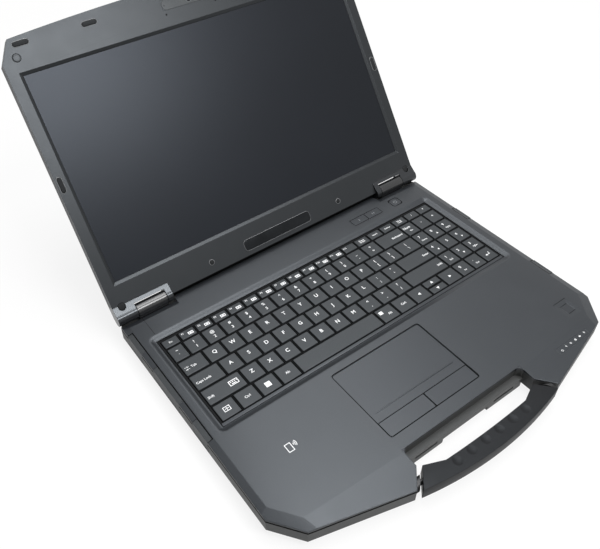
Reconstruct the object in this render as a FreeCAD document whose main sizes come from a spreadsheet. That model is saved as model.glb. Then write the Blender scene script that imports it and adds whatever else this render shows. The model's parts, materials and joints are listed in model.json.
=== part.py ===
import FreeCAD, Part
import os
import re
import Sketcher

# Rugged laptop computer, open on a table. X runs to the right, Y to the back and Z up, in millimetres.
# The origin is the middle of the feet, on the table.

sizes = {
    # how far a cut runs past the face that it opens
    "past": 1,
    # base casing, seen from above
    "halfWidth": 184.1,
    "rearReach": 143,
    "rearCornerWidth": 7,
    "rearCornerDepth": 12,
    "sideFront": 96,
    "cornerInset": 19.1,
    "cornerReach": 121,
    "noseHalf": 81,
    "noseReach": 143,
    "recessHalf": 67.7,
    "recessBack": 112.5,
    "recessBend": 128.2,
    # base casing, heights
    "footHeight": 1.5,
    "caseHeight": 19.5,
    "caseChamfer": 6.5,
    "chamferAngle": 45,
    "floorThickness": 2,
    "deckThickness": 3.2,
    "sideWall": 7,
    "cavityFront": 106,
    "cavityCorner": 15,
    "cavityRear": 125.5,
    "shelfHeight": 18,
    "rimWidth": 1.6,
    "rimHeight": 2.2,
    "ledgeReach": 6,
    "ledgeTop": 14,
    "ledgeBottom": 3,
    "ledgeArch": 26,
    "ledgeArchHeight": 8,
    "wingPocketInner": 92,
    "wingPocketInset": 7,
    "wingPocketBack": 110,
    "wingWall": 4,
    "slotInner": 33,
    "slotOuter": 57,
    "slotHeight": 3,
    # deck slopes
    "sideSlope": 6,
    "sideDrop": 1.3,
    "cornerSlope": 9,
    "cornerDrop": 2,
    "cornerSpan": 50,
    "frontBreak": 113,
    "frontBreakHalf": 116,
    "frontTilt": 2.5,
    "frontSlope": 30,
    "frontDrop": 2.6,
    "frontSpan": 70,
    "recessSlope": 6.2,
    # hinge line
    "hingeBack": 136.2,
    "hingeHeight": 28,
    "openAngle": 125.9,
    "barrelRadius": 6.5,
    "barrelInset": 50.7,
    "barrelLength": 30.1,
    "footFront": 5.7,
    "footRear": 6.2,
    "pinRadius": 2.5,
    "runningFit": 0.05,
    "deckRear": 135.5,
    "deckHingeRear": 130,
    "deckStepFit": 0.8,
    "deckStepWidth": 3.2,
    "hingeBevel": 5.7,
    "hingeBevelDrop": 1.8,
    "hingeMargin": 1.5,
    # keyboard
    "frameInset": 17.9,
    "frameFront": 13,
    "frameBack": 97,
    "frameHeight": 4.2,
    "frameFit": 0.2,
    "frameFloor": 0.6,
    "trayFloor": 1.6,
    "trayWall": 1.8,
    "traySeat": 17,
    "keysMargin": 1.8,
    "keysFront": 9.2,
    "padMargin": 1.3,
    "rowPitch": 18.58,
    "functionDepth": 11.2,
    "padPitch": 17.1,
    "capHeight": 2.6,
    "capTop": 22,
    "capGap": 0.65,
    "capTaper": 0.55,
    "ridgeHalf": 0.35,
    # touchpad and its buttons
    "padLeft": 66.5,
    "padRight": 33,
    "padBack": 26.6,
    "padFront": 84,
    "padThickness": 1.6,
    "padSink": 0.7,
    "padButtonDepth": 15.8,
    "padButtonHeight": 2.3,
    "padButtonWell": 2,
    "padButtonFloor": 0.8,
    "padButtonMargin": 3,
    "buttonFit": 0.25,
    # buttons behind the keyboard
    "powerInset": 45.1,
    "powerWidth": 12,
    "powerDepth": 11,
    "powerCorner": 2.5,
    "functionInset": 105.8,
    "functionWidth": 19.2,
    "functionDepthY": 9.4,
    "buttonRow": 114.6,
    "buttonHeight": 2,
    "buttonProud": 0.1,
    "buttonWellReach": 3,
    "buttonWell": 1.5,
    "buttonFloor": 0.8,
    # small fittings on the deck
    "readerInset": 33.1,
    "readerWidth": 9,
    "readerBack": 90,
    "readerDepth": 9.8,
    "readerSink": 0.5,
    "readerThickness": 1.4,
    "readerHollow": 4.2,
    "lightsLength": 40.5,
    "lightsInset": 18,
    "lightsReach": 3.6,
    "lightsDepth": 5.4,
    "lightsThickness": 1.9,
    # carrying handle
    "handleGap": 6.9,
    "handleTip": 4.4,
    "handleEnd": 77,
    "handleKinkHalf": 45.5,
    "handleInner": 137.4,
    "handleInnerMiddle": 138.5,
    "handleOuter": 154,
    "handleThickness": 12,
    "handleAxisHeight": 16,
    "handleAxis": 137.5,
    "handlePinRadius": 2,
    "handlePinIn": 9,
    "collarRadius": 4.8,
    "collarReach": 3.6,
    "handlePinOut": 13,
    "pressFit": 0.01,
    "gripPitch": 15.6,
    "gripBack": 143,
    "gripRadius": 12,
    "gripDepth": 0.8,
    # port doors, all hung on their lower edge
    "doorThickness": 2.6,
    "doorAxisHeight": 11,
    "doorPinRadius": 0.9,
    "doorPinReach": 1.5,
    "doorFit": 0.3,
    "doorFlange": 4.5,
    "doorProud": 0.9,
    "doorTop": 22.7,
    "doorCrown": 1,
    "doorFlangeDrop": 2.6,
    "doorLip": 2,
    "leftFrontDoorStart": -18,
    "leftFrontDoorEnd": 5,
    "leftMiddleDoorStart": 26.5,
    "leftMiddleDoorEnd": 70.5,
    "leftRearDoorStart": 91.5,
    "leftRearDoorEnd": 117,
    "rightFrontDoorStart": -56,
    "rightFrontDoorEnd": -34,
    "rightRearDoorStart": 48,
    "rightRearDoorEnd": 69,
    # feet and screws
    "footInset": 44.1,
    "footMiddleY": 105,
    "footLength": 36,
    "footWidth": 14,
    "footSeat": 0.5,
    "screwInset": 10.6,
    "screwFrontY": 85,
    "screwFirstY": 16,
    "screwSecondY": 81,
    "screwRearY": 121.5,
    "bossRadius": 3.2,
    "shankRadius": 1.2,
    "shankLength": 10,
    "headRadius": 2.3,
    "headHeight": 1.2,
    # parts inside the base
    "boardInset": 18.1,
    "boardFront": 22,
    "boardBack": 122,
    "boardThickness": 1.6,
    "postHeight": 2.5,
    "postRadius": 3,
    "postSideInset": 16,
    "postInset": 8,
    "chipSide": 24,
    "chipHeight": 1.6,
    "chipY": 66,
    "spreaderGap": 14,
    "memoryClearance": 10.2,
    "spreaderDepth": 60,
    "spreaderThickness": 2,
    "pipeRadius": 2.2,
    "socketDepth": 6,
    "socketHeight": 2.4,
    "memoryGap": 15.2,
    "memoryY": 20,
    "memoryLength": 69.6,
    "memoryDepth": 30,
    "cardThickness": 1.2,
    "wirelessInset": 56,
    "wirelessY": 76,
    "wirelessWidth": 22,
    "wirelessDepth": 30,
    "driveInset": 36,
    "driveY": 8,
    "driveWidth": 22,
    "driveDepth": 80,
    "cellInset": 46,
    "cellY": 20,
    "cellRadius": 10,
    "cellHeight": 3.2,
    "batteryHalf": 112,
    "batteryFront": 88,
    "batteryBack": 26,
    "batteryHeight": 14,
    "speakerInner": 30,
    "speakerOuter": 62,
    "speakerDepth": 14,
    "speakerHeight": 12,
    "antennaInset": 24.1,
    "antennaWidth": 50,
    "antennaFront": 85,
    "antennaBack": 35,
    "antennaThickness": 0.6,
    "antennaTrack": 6,
    "portDepth": 17,
    "portSet": 0.4,
    "portWall": 0.8,
    "portFit": 0.3,
    "usbWidth": 14,
    "usbHeight": 6,
    "screenPortWidth": 15,
    "screenPortInset": 11,
    "powerPortWidth": 10,
    "cardSlotHeight": 10,
    # lid, flat on its hinge line: Y runs from the hinge to the top edge, Z out of the screen
    "lidOverhang": 0.9,
    "lidFace": 3,
    "lidThickness": 10.5,
    "lidShoulder": 239,
    "lidCornerCut": 12,
    "lidCornerReach": 258.5,
    "lidTop": 264.8,
    "lidWall": 3,
    "lidBack": 2,
    "bezelThickness": 1.7,
    "bezelBevel": 3,
    "bezelFit": 0.1,
    "screenInset": 12.9,
    "screenBottom": 32.8,
    "screenHeight": 193.6,
    "panelMarginSide": 4.9,
    "panelMarginBottom": 5.8,
    "panelMarginTop": 5.6,
    "panelThickness": 5,
    "knuckleReach": 11.5,
    "knuckleInset": 57,
    "notchReach": 8,
    "notchGap": 0.6,
    "armInset": 39,
    "armMargin": 4,
    "armReach": 110,
    "armFoot": 15,
    "lugWidth": 7.1,
    "lugFit": 0.4,
    "lugBelow": 3.4,
    "lugBack": 3.9,
    "lugFront": 2.8,
    "lugBend": 9.2,
    "lugReach": 20,
    "lugShoulder": 1,
    # small fittings on the lid
    "bumperLength": 14,
    "bumperWidth": 4,
    "bumperProud": 0.6,
    "bumperSeat": 0.9,
    "sideBumperInset": 4,
    "sideBumperY": 130,
    "topBumperY": 252.6,
    "topBumperSpan": 63.5,
    "topBumperInset": 21.5,
    "nubRadius": 2.2,
    "nubX": 79,
    "nubY": 10.4,
    "screwCapRadius": 3.5,
    "screwCapFit": 0.2,
    "screwCapSeat": 1,
    "topCapInset": 13.5,
    "topCapY": 241.8,
    "hingeCapInset": 9,
    "hingeCapY": 10,
    "plateHalf": 40.5,
    "plateBottom": 4.8,
    "plateHeight": 10.5,
    "plateThickness": 0.8,
    "windowHalf": 28.5,
    "windowBottom": 244,
    "windowHeight": 9.7,
    "cameraHalf": 21,
    "cameraDepth": 5,
    "cameraMargin": 1.2,
    "microphoneX": 27,
    "microphoneY": 240.3,
    "microphoneRadius": 0.7,
    "aerialInner": 60,
    "aerialOuter": 130,
    "aerialBottom": 240,
    "aerialWidth": 9,
    "aerialThickness": 4,
}

# key widths in key pitches
keyRatios = {
    "mainRatio": 14.6702,
    "graveRatio": 0.8496,
    "tabRatio": 1.3087,
    "capsRatio": 1.562,
    "shiftRatio": 2.0633,
    "modifierRatio": 1.0871,
    "spaceRatio": 4.9393,
}

# places worked out from the sizes
places = {
    "floorTop": "footHeight + floorThickness",
    "chamferTop": "footHeight + caseChamfer",
    "seam": "footHeight + caseHeight",
    "deckTop": "seam + deckThickness",
    "trayBottom": "traySeat - trayFloor",
    "frameTop": "traySeat + frameHeight",
    "capBottom": "capTop - capHeight",
    "keysBack": "-keysFront + 5 * rowPitch",
    "padTop": "deckTop - padSink",
    "padSeat": "padTop - padThickness",
    "padSplit": "(padRight - padLeft) / 2",
    "padButtonFront": "padFront + padButtonDepth",
    "boardSeat": "floorTop + postHeight",
    "boardTop": "boardSeat + boardThickness",
    "cardSeat": "boardTop + socketHeight",
    "chipTop": "boardTop + chipHeight",
    "doorAxisX": "halfWidth - doorThickness / 2",
    "doorInside": "halfWidth - doorThickness",
    "noseSlope": "(noseReach - recessBend) / (noseHalf - recessHalf)",
    "handlePinFace": "recessHalf + (handleAxis - recessBend) / noseSlope",
    "handlePinStart": "handlePinFace - handlePinOut",
    "doorRecess": "doorInside - doorFit",
    "doorSill": "doorAxisHeight - doorThickness / 2 - doorFit",
    "buttonTop": "deckTop + buttonProud",
    "portOuter": "doorRecess - portSet",
    "bezelBack": "lidFace - bezelThickness",
    "lidRear": "lidFace - lidThickness",
    "lidFloor": "lidRear + lidBack",
    "screenTop": "screenBottom + screenHeight",
    "panelBack": "bezelBack - panelThickness",
    "bumperFloor": "lidFace - bumperSeat",
    "cornerHalf": "halfWidth - cornerInset",
    "wingPocketOuter": "cornerHalf - wingPocketInset",
    "barrelInner": "lidHalf - barrelInset",
    "barrelOuter": "barrelInner + barrelLength",
    "deckStepOuter": "knuckleInner - deckStepFit",
    "deckStepInner": "deckStepOuter - deckStepWidth",
    "frameHalf": "halfWidth - frameInset",
    "keysLeft": "frameHalf - keysMargin",
    "mainRight": "frameHalf - padMargin - 3 * padPitch",
    "keyPitch": f"(keysLeft + mainRight) / {keyRatios['mainRatio']}",
    "graveWidth": f"keyPitch * {keyRatios['graveRatio']}",
    "tabWidth": f"keyPitch * {keyRatios['tabRatio']}",
    "capsWidth": f"keyPitch * {keyRatios['capsRatio']}",
    "shiftWidth": f"keyPitch * {keyRatios['shiftRatio']}",
    "modifierPitch": f"keyPitch * {keyRatios['modifierRatio']}",
    "spaceWidth": f"keyPitch * {keyRatios['spaceRatio']}",
    "powerMiddle": "halfWidth - powerInset",
    "functionLeft": "halfWidth - functionInset",
    "readerLeft": "halfWidth - readerInset",
    "lightsLeft": "lightsRight - lightsLength",
    "lightsRight": "cornerHalf - lightsInset",
    "footMiddleX": "halfWidth - footInset",
    "screwX": "halfWidth - screwInset",
    "boardHalf": "halfWidth - boardInset",
    "postX": "boardHalf - postSideInset",
    "memoryX": "cellX + cellRadius + memoryGap + memoryLength / 2",
    "wirelessX": "-boardHalf + wirelessInset",
    "driveX": "boardHalf - driveInset",
    "cellX": "-boardHalf + cellInset",
    "antennaLeft": "halfWidth - antennaInset",
    "antennaRight": "antennaLeft - antennaWidth",
    "lidHalf": "halfWidth + lidOverhang",
    "lidCornerHalf": "lidHalf - lidCornerCut",
    "screenHalf": "lidHalf - screenInset",
    "knuckleInner": "lidHalf - knuckleInset",
    "armInner": "lidHalf - armInset",
    "armOuter": "lidHalf - armMargin",
    "lugOuter": "barrelOuter + lugWidth",
    "sideBumperX": "lidHalf - sideBumperInset",
    "topBumperInner": "topBumperOuter - topBumperSpan",
    "topBumperOuter": "lidHalf - topBumperInset",
    "topCapX": "lidHalf - topCapInset",
    "hingeCapX": "lidHalf - hingeCapInset",
    "spreaderLeft": "memoryX + memoryLength / 2 + memoryClearance",
    "spreaderRight": "driveX - driveWidth / 2 - spreaderGap",
    "spreaderWidth": "spreaderRight - spreaderLeft",
    "chipX": "(spreaderLeft + spreaderRight) / 2",
    "lightsFront": "cornerReach + lightsReach",
    "lightsBack": "lightsFront - lightsDepth",
}

doc = FreeCAD.newDocument("laptop")
sheet = doc.addObject("Spreadsheet::Sheet", "Size")
for row, (alias, value) in enumerate(sizes.items(), start=1):
    sheet.set(f"A{row}", alias)
    sheet.set(f"B{row}", str(value))
    sheet.setAlias(f"B{row}", alias)
doc.recompute()

finished = {}
sketchTolerance = 0.001


def formula(text):
    def named(match):
        word = match.group()
        if word in places:
            return "(" + formula(places[word]) + ")"
        return "Size." + word if word in sizes else word
    return re.sub(r"[A-Za-z]\w*", named, str(text))


def bind(thing, target, text):
    thing.setExpression(target, formula(text))


def finish(node, thing):
    thing.Label = node
    finished[node] = thing
    return thing


def box(x, y, z):
    block = doc.addObject("Part::Box", "block")
    for side, axis, (low, high) in zip(("Length", "Width", "Height"), "xyz", (x, y, z)):
        bind(block, side, f"({high}) - ({low})")
        bind(block, f"Placement.Base.{axis}", low)
    return block


def rod(axis, radius, x, y, z, length):
    turns = {
        "x": FreeCAD.Rotation(FreeCAD.Vector(0, 1, 0), 90),
        "y": FreeCAD.Rotation(FreeCAD.Vector(1, 0, 0), -90),
        "z": FreeCAD.Rotation(),
    }
    bar = doc.addObject("Part::Cylinder", "bar")
    bar.Placement = FreeCAD.Placement(FreeCAD.Vector(), turns[axis])
    bind(bar, "Radius", radius)
    bind(bar, "Height", length)
    for letter, place in zip("xyz", (x, y, z)):
        bind(bar, f"Placement.Base.{letter}", place)
    return bar


def ball(radius, x, y, z):
    sphere = doc.addObject("Part::Sphere", "sphere")
    bind(sphere, "Radius", radius)
    for letter, place in zip("xyz", (x, y, z)):
        bind(sphere, f"Placement.Base.{letter}", place)
    return sphere


def tapered(x, y, z, inset):
    wedge = doc.addObject("Part::Wedge", "taper")
    wedge.Placement = FreeCAD.Placement(
        FreeCAD.Vector(), FreeCAD.Rotation(FreeCAD.Vector(1, 0, 0), 90)
    )
    spans = (("X", "X2", x[0], x[1]), ("Z", "Z2", f"-({y[1]})", f"-({y[0]})"))
    for lower, upper, low, high in spans:
        bind(wedge, lower + "min", low)
        bind(wedge, lower + "max", high)
        bind(wedge, upper + "min", f"({low}) + ({inset})")
        bind(wedge, upper + "max", f"({high}) - ({inset})")
    bind(wedge, "Ymin", z[0])
    bind(wedge, "Ymax", z[1])
    return wedge


def value(text):
    return float(sheet.evalExpression(formula(text)))


def outline(body, plane, corners, level, bends):
    sketch = body.newObject("Sketcher::SketchObject", "outline")
    flat = [part for part in body.Origin.OriginFeatures if part.Role == plane][0]
    sketch.AttachmentSupport = [(flat, "")]
    sketch.MapMode = "FlatFace"
    bind(sketch, "AttachmentOffset.Base.z", level)
    count = len(corners)
    points = [FreeCAD.Vector(value(x), value(y)) for x, y in corners]
    ends = []
    for index, start in enumerate(points):
        stop = points[(index + 1) % count]
        if index in bends:
            middle = FreeCAD.Vector(*[value(place) for place in bends[index]])
            sketch.addGeometry(Part.Arc(start, middle, stop))
        else:
            sketch.addGeometry(Part.LineSegment(start, stop))
        forward = sketch.getPoint(index, 1).distanceToPoint(start) < sketchTolerance
        ends.append((1, 2) if forward else (2, 1))
    for index in range(count):
        following = (index + 1) % count
        sketch.addConstraint(
            Sketcher.Constraint("Coincident", index, ends[index][1], following, ends[following][0])
        )
    for index, corner in enumerate(corners):
        hold(sketch, index, ends[index][0], corner)
    for index, place in bends.items():
        marker = sketch.addGeometry(Part.Point(FreeCAD.Vector(*[value(part) for part in place])), True)
        hold(sketch, marker, 1, place)
        sketch.addConstraint(Sketcher.Constraint("PointOnObject", marker, 1, index))
    return sketch


def hold(sketch, shape, end, place):
    for kind, text in zip(("DistanceX", "DistanceY"), place):
        row = sketch.addConstraint(Sketcher.Constraint(kind, -1, 1, shape, end, value(text)))
        sketch.setExpression(f"Constraints[{row}]", formula(text))


def prism(plane, corners, low, high, taper=None, downwards=False, bends={}):
    body = doc.addObject("PartDesign::Body", "body")
    start = high if downwards else low
    level = f"-({high})" if plane == "XZ_Plane" else start
    sketch = outline(body, plane, corners, level, bends)
    pad = body.newObject("PartDesign::Pad", "pad")
    pad.Profile = sketch
    bind(pad, "Length", f"({high}) - ({low})")
    pad.Reversed = downwards
    if taper is not None:
        bind(pad, "TaperAngle", taper)
    return body


def join(*shapes):
    if len(shapes) == 1:
        return shapes[0]
    fused = doc.addObject("Part::MultiFuse", "joined")
    fused.Shapes = list(shapes)
    return fused


def cut(base, *tools):
    remainder = doc.addObject("Part::Cut", "cut")
    remainder.Base = base
    remainder.Tool = join(*tools)
    return remainder


def together(*shapes):
    compound = doc.addObject("Part::Compound", "group")
    compound.Links = list(shapes)
    return compound


def mirrored(shape):
    copy = doc.addObject("Part::Mirroring", "mirrored")
    copy.Source = shape
    copy.Normal = FreeCAD.Vector(1, 0, 0)
    return copy


def bothSides(corners):
    left = [(f"-({x})", y) for x, y in reversed(corners)]
    return list(corners) + left


def onLid(node, thing):
    thing.Placement = FreeCAD.Placement(
        FreeCAD.Vector(), FreeCAD.Rotation(FreeCAD.Vector(1, 0, 0), 45)
    )
    bind(thing, "Placement.Base.y", "hingeBack")
    bind(thing, "Placement.Base.z", "hingeHeight")
    bind(thing, "Placement.Rotation.Angle", "180 - openAngle")
    return finish(node, thing)


# outline of the base, right half, from the handle recess round to the back
frontCorners = [
    ("recessHalf", "-recessBack"),
    ("recessHalf", "-recessBend"),
    ("noseHalf", "-noseReach"),
    ("cornerHalf", "-cornerReach"),
    ("halfWidth", "-sideFront"),
]
caseCorners = frontCorners + [
    ("halfWidth", "rearReach - rearCornerDepth"),
    ("halfWidth - rearCornerWidth", "rearReach"),
]
deckCorners = frontCorners + [
    ("halfWidth", "deckHingeRear"),
    ("deckStepOuter", "deckHingeRear"),
    ("deckStepInner", "deckRear"),
]
screwRows = ("-screwFrontY", "screwFirstY", "screwSecondY", "screwRearY")
screwPlaces = [(x, y) for x in ("-screwX", "screwX") for y in screwRows]
postPlaces = [
    (x, y)
    for x in ("-postX", "0", "postX")
    for y in ("-boardFront + postInset", "boardBack - postInset")
]
footPlaces = [(x, y) for x in ("-footMiddleX", "footMiddleX") for y in ("-footMiddleY", "footMiddleY")]
footPlaces.append(("0", "0"))

doors = {
    "left_port_door_front": ("leftFrontDoorStart", "leftFrontDoorEnd", -1),
    "left_port_door_middle": ("leftMiddleDoorStart", "leftMiddleDoorEnd", -1),
    "left_port_door_rear": ("leftRearDoorStart", "leftRearDoorEnd", -1),
    "right_port_door_front": ("rightFrontDoorStart", "rightFrontDoorEnd", 1),
    "right_port_door_rear": ("rightRearDoorStart", "rightRearDoorEnd", 1),
}


def spread(span, side):
    low, high = span
    return (low, high) if side > 0 else (f"-({high})", f"-({low})")


# sockets behind the doors: middle along the side, width, height and seat
leftSockets = [
    ("(leftFrontDoorStart + leftFrontDoorEnd) / 2", "usbWidth", "usbHeight", "boardTop"),
    ("leftMiddleDoorStart + screenPortInset", "screenPortWidth", "usbHeight", "boardTop"),
    ("leftMiddleDoorEnd - screenPortInset", "usbWidth", "usbHeight", "boardTop"),
    ("(leftRearDoorStart + leftRearDoorEnd) / 2", "powerPortWidth", "usbHeight", "boardTop"),
]
rightSockets = [
    ("(rightRearDoorStart + rightRearDoorEnd) / 2", "usbWidth", "usbHeight", "boardTop"),
    ("(rightFrontDoorStart + rightFrontDoorEnd) / 2", "usbWidth", "cardSlotHeight", "floorTop"),
]


# key cells: each holds the left, right, front and back line of one key
def line(row):
    return f"-keysFront + {row} * rowPitch"


def run(start, width, count, row):
    return [
        (f"{start} + {index} * {width}", f"{start} + {index + 1} * {width}", line(row), line(row + 1))
        for index in range(count)
    ]


def upTo(start, row):
    return (start, "mainRight", line(row), line(row + 1))


spaceLeft = "-keysLeft + 4 * modifierPitch"
spaceRight = f"{spaceLeft} + spaceWidth"
arrowPitch = f"(mainRight - ({spaceRight})) / 5"
arrows = run(spaceRight, f"({arrowPitch})", 5, 0)
middleLine = f"{line(0)} + rowPitch / 2"
functionRow = [
    (left, right, "keysBack", "keysBack + functionDepth")
    for left, right, front, back in run(
        "-keysLeft", "((mainRight + 3 * padPitch + keysLeft) / 19)", 19, 0
    )
]
numberPad = [cell for row in range(5) for cell in run("mainRight", "padPitch", 3, row)]
keys = {
    "keys_function_row": functionRow,
    "keys_number_row": [("-keysLeft", "-keysLeft + graveWidth", line(4), line(5))]
    + run("-keysLeft + graveWidth", "keyPitch", 12, 4),
    "keys_upper_letters": run("-keysLeft + tabWidth", "keyPitch", 12, 3)
    + [upTo("-keysLeft + tabWidth + 12 * keyPitch", 3)],
    "keys_home_letters": run("-keysLeft + capsWidth", "keyPitch", 11, 2),
    "keys_lower_letters": run("-keysLeft + shiftWidth", "keyPitch", 10, 1),
    "keys_modifiers": run("-keysLeft", "modifierPitch", 4, 0) + arrows[:2],
    "keys_number_pad": numberPad,
    "key_backspace": [upTo("-keysLeft + graveWidth + 12 * keyPitch", 4)],
    "key_tab": [("-keysLeft", "-keysLeft + tabWidth", line(3), line(4))],
    "key_caps_lock": [("-keysLeft", "-keysLeft + capsWidth", line(2), line(3))],
    "key_enter": [upTo("-keysLeft + capsWidth + 11 * keyPitch", 2)],
    "key_shift_left": [("-keysLeft", "-keysLeft + shiftWidth", line(1), line(2))],
    "key_shift_right": [upTo("-keysLeft + shiftWidth + 10 * keyPitch", 1)],
    "key_space": [(spaceLeft, spaceRight, line(0), line(1))],
    "key_arrow_left": [arrows[2]],
    "key_arrow_up": [(arrows[3][0], arrows[3][1], middleLine, line(1))],
    "key_arrow_down": [(arrows[3][0], arrows[3][1], line(0), middleLine)],
    "key_arrow_right": [arrows[4]],
}


def keyboard():
    pockets = []
    for node, cells in keys.items():
        caps = []
        for left, right, front, back in cells:
            caps.append(
                tapered(
                    (f"{left} + capGap", f"{right} - capGap"),
                    (f"{front} + capGap", f"{back} - capGap"),
                    ("capBottom", "capTop"),
                    "capTaper",
                )
            )
            pockets.append(
                box(
                    (f"{left} + ridgeHalf", f"{right} - ridgeHalf"),
                    (f"{front} + ridgeHalf", f"{back} - ridgeHalf"),
                    ("traySeat + frameFloor", "capTop"),
                )
            )
        finish(node, caps[0] if len(caps) == 1 else together(*caps))
    plate = box(("-frameHalf", "frameHalf"), ("-frameFront", "frameBack"), ("traySeat", "frameTop"))
    frame = doc.addObject("Part::Cut", "frame")
    frame.Base = plate
    frame.Tool = together(*pockets)
    finish("keyboard_frame", frame)


def doorSpace(start, end):
    return (f"{start} - doorFit", f"{end} + doorFit")


def bottomCase():
    upper = prism("XY_Plane", bothSides(caseCorners), "chamferTop", "seam")
    lower = prism("XY_Plane", bothSides(caseCorners), "footHeight", "chamferTop", "-chamferAngle", True)
    ledge = box(
        ("-recessHalf", "recessHalf"),
        ("-recessBack - ledgeReach", "-cavityFront"),
        ("ledgeBottom", "ledgeTop"),
    )
    cavity = prism(
        "XY_Plane",
        bothSides(
            [
                ("halfWidth - sideWall - cavityCorner", "-cavityFront"),
                ("halfWidth - sideWall", "-cavityFront + cavityCorner"),
                ("halfWidth - sideWall", "cavityRear"),
            ]
        ),
        "floorTop",
        "seam + past",
    )
    shelf = prism(
        "XY_Plane",
        bothSides(
            [
                ("deckStepInner", "deckRear"),
                ("deckStepOuter", "deckHingeRear"),
                ("halfWidth + past", "deckHingeRear"),
                ("halfWidth + past", "rearReach + past"),
            ]
        ),
        "shelfHeight",
        "seam + past",
    )
    wing = prism(
        "XY_Plane",
        [
            ("wingPocketInner", "-wingPocketBack"),
            ("wingPocketInner", "-noseReach + 2 * wingWall"),
            ("wingPocketOuter", "-cornerReach + wingWall / 2"),
            ("wingPocketOuter", "-wingPocketBack"),
        ],
        "chamferTop",
        "seam + past",
    )
    arch = box(
        ("-ledgeArch", "ledgeArch"),
        ("-recessBack - ledgeReach - past", "-recessBack"),
        ("0", "ledgeArchHeight"),
    )
    pinHole = rod(
        "x",
        "handlePinRadius + pressFit",
        "handlePinStart",
        "-handleAxis",
        "handleAxisHeight",
        "handlePinOut + handlePinIn",
    )
    openings = [cavity, shelf, wing, mirrored(wing), arch, pinHole, mirrored(pinHole)]
    for side in (-1, 1):
        openings.append(
            box(
                spread(("slotInner", "slotOuter"), side),
                ("-recessBack - ledgeReach - past", "-cavityFront + past"),
                ("ledgeArchHeight", "ledgeArchHeight + slotHeight"),
            )
        )
    for start, end, side in doors.values():
        openings.append(
            box(
                spread(("doorRecess", "halfWidth + past"), side),
                doorSpace(start, end),
                ("doorSill", "seam + past"),
            )
        )
        openings.append(
            rod(
                "y",
                "doorPinRadius + runningFit",
                f"{side} * doorAxisX",
                f"{start} - doorFit - doorPinReach",
                "doorAxisHeight",
                f"{end} - {start} + 2 * (doorFit + doorPinReach)",
            )
        )
    for side, sockets in ((-1, leftSockets), (1, rightSockets)):
        for middle, width, height, seat in sockets:
            openings.append(
                box(
                    spread(("halfWidth - sideWall - past", "doorRecess + past"), side),
                    (f"{middle} - {width} / 2 - portFit", f"{middle} + {width} / 2 + portFit"),
                    (seat, f"{seat} + {height} + portFit"),
                )
            )
    for x, y in screwPlaces:
        openings.append(rod("z", "headRadius + portFit", x, y, "0", "footHeight + headHeight"))
        openings.append(rod("z", "shankRadius + runningFit", x, y, "0", "floorTop + past"))
    for x, y in footPlaces:
        openings.append(footBlock(x, y, "0"))
    posts = [rod("z", "postRadius", x, y, "floorTop", "postHeight") for x, y in postPlaces]
    rim = box(
        ("-deckStepInner", "deckStepInner"),
        ("rearReach - rimWidth", "rearReach"),
        ("shelfHeight", "shelfHeight + rimHeight"),
    )
    shell = cut(join(upper, lower, ledge), *openings)
    finish("bottom_case", join(shell, rim, *posts))


def footBlock(x, y, low):
    return box(
        (f"{x} - footLength / 2", f"{x} + footLength / 2"),
        (f"{y} - footWidth / 2", f"{y} + footWidth / 2"),
        (low, "footHeight + footSeat"),
    )


def feet():
    finish("feet", together(*[footBlock(x, y, "0") for x, y in footPlaces]))


def baseScrews():
    screws = []
    for x, y in screwPlaces:
        head = rod("z", "headRadius", x, y, "footHeight", "headHeight")
        shank = rod("z", "shankRadius", x, y, "footHeight", "headHeight + shankLength")
        screws.append(join(head, shank))
    finish("base_screws", together(*screws))


# sloping faces of the deck on the right; the left ones are mirrored
def deckSlopes():
    side = prism(
        "XZ_Plane",
        [
            ("halfWidth - sideSlope", "deckTop"),
            ("halfWidth - sideSlope", "deckTop + past"),
            ("halfWidth + sideSlope", "deckTop + past"),
            ("halfWidth + sideSlope", "deckTop - 2 * sideDrop"),
        ],
        "-2 * rearReach",
        "2 * rearReach",
    )
    corner = prism(
        "XZ_Plane",
        [
            ("-cornerSlope", "deckTop"),
            ("-cornerSlope", "deckTop + past"),
            ("cornerSlope", "deckTop + past"),
            ("cornerSlope", "deckTop - 2 * cornerDrop"),
        ],
        "-cornerSpan",
        "cornerSpan",
    )
    bind(corner, "Placement.Base.x", "(halfWidth + cornerHalf) / 2")
    bind(corner, "Placement.Base.y", "-(sideFront + cornerReach) / 2")
    bind(corner, "Placement.Rotation.Angle", "-atan((halfWidth - cornerHalf) / (cornerReach - sideFront))")
    return [side, corner, frontSlopeTool()]


def frontSlopeTool():
    front = prism(
        "XZ_Plane",
        [
            ("0", "deckTop"),
            ("0", "deckTop + past"),
            ("2 * frontSlope", "deckTop + past"),
            ("2 * frontSlope", "deckTop - 2 * frontDrop"),
        ],
        "-frontSpan",
        "frontSpan",
    )
    bind(front, "Placement.Base.x", "frontBreakHalf")
    bind(front, "Placement.Base.y", "-frontBreak")
    bind(front, "Placement.Rotation.Angle", "frontTilt - 90")
    return front


def padButton(side, grow, low, high):
    inner, outer = ("padSplit", "padRight") if side > 0 else ("-padLeft", "padSplit")
    return box(
        (f"{inner} + buttonFit - ({grow})", f"{outer} - buttonFit + ({grow})"),
        (f"-padButtonFront + buttonFit - ({grow})", f"-padFront - buttonFit + ({grow})"),
        (low, high),
    )


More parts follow.
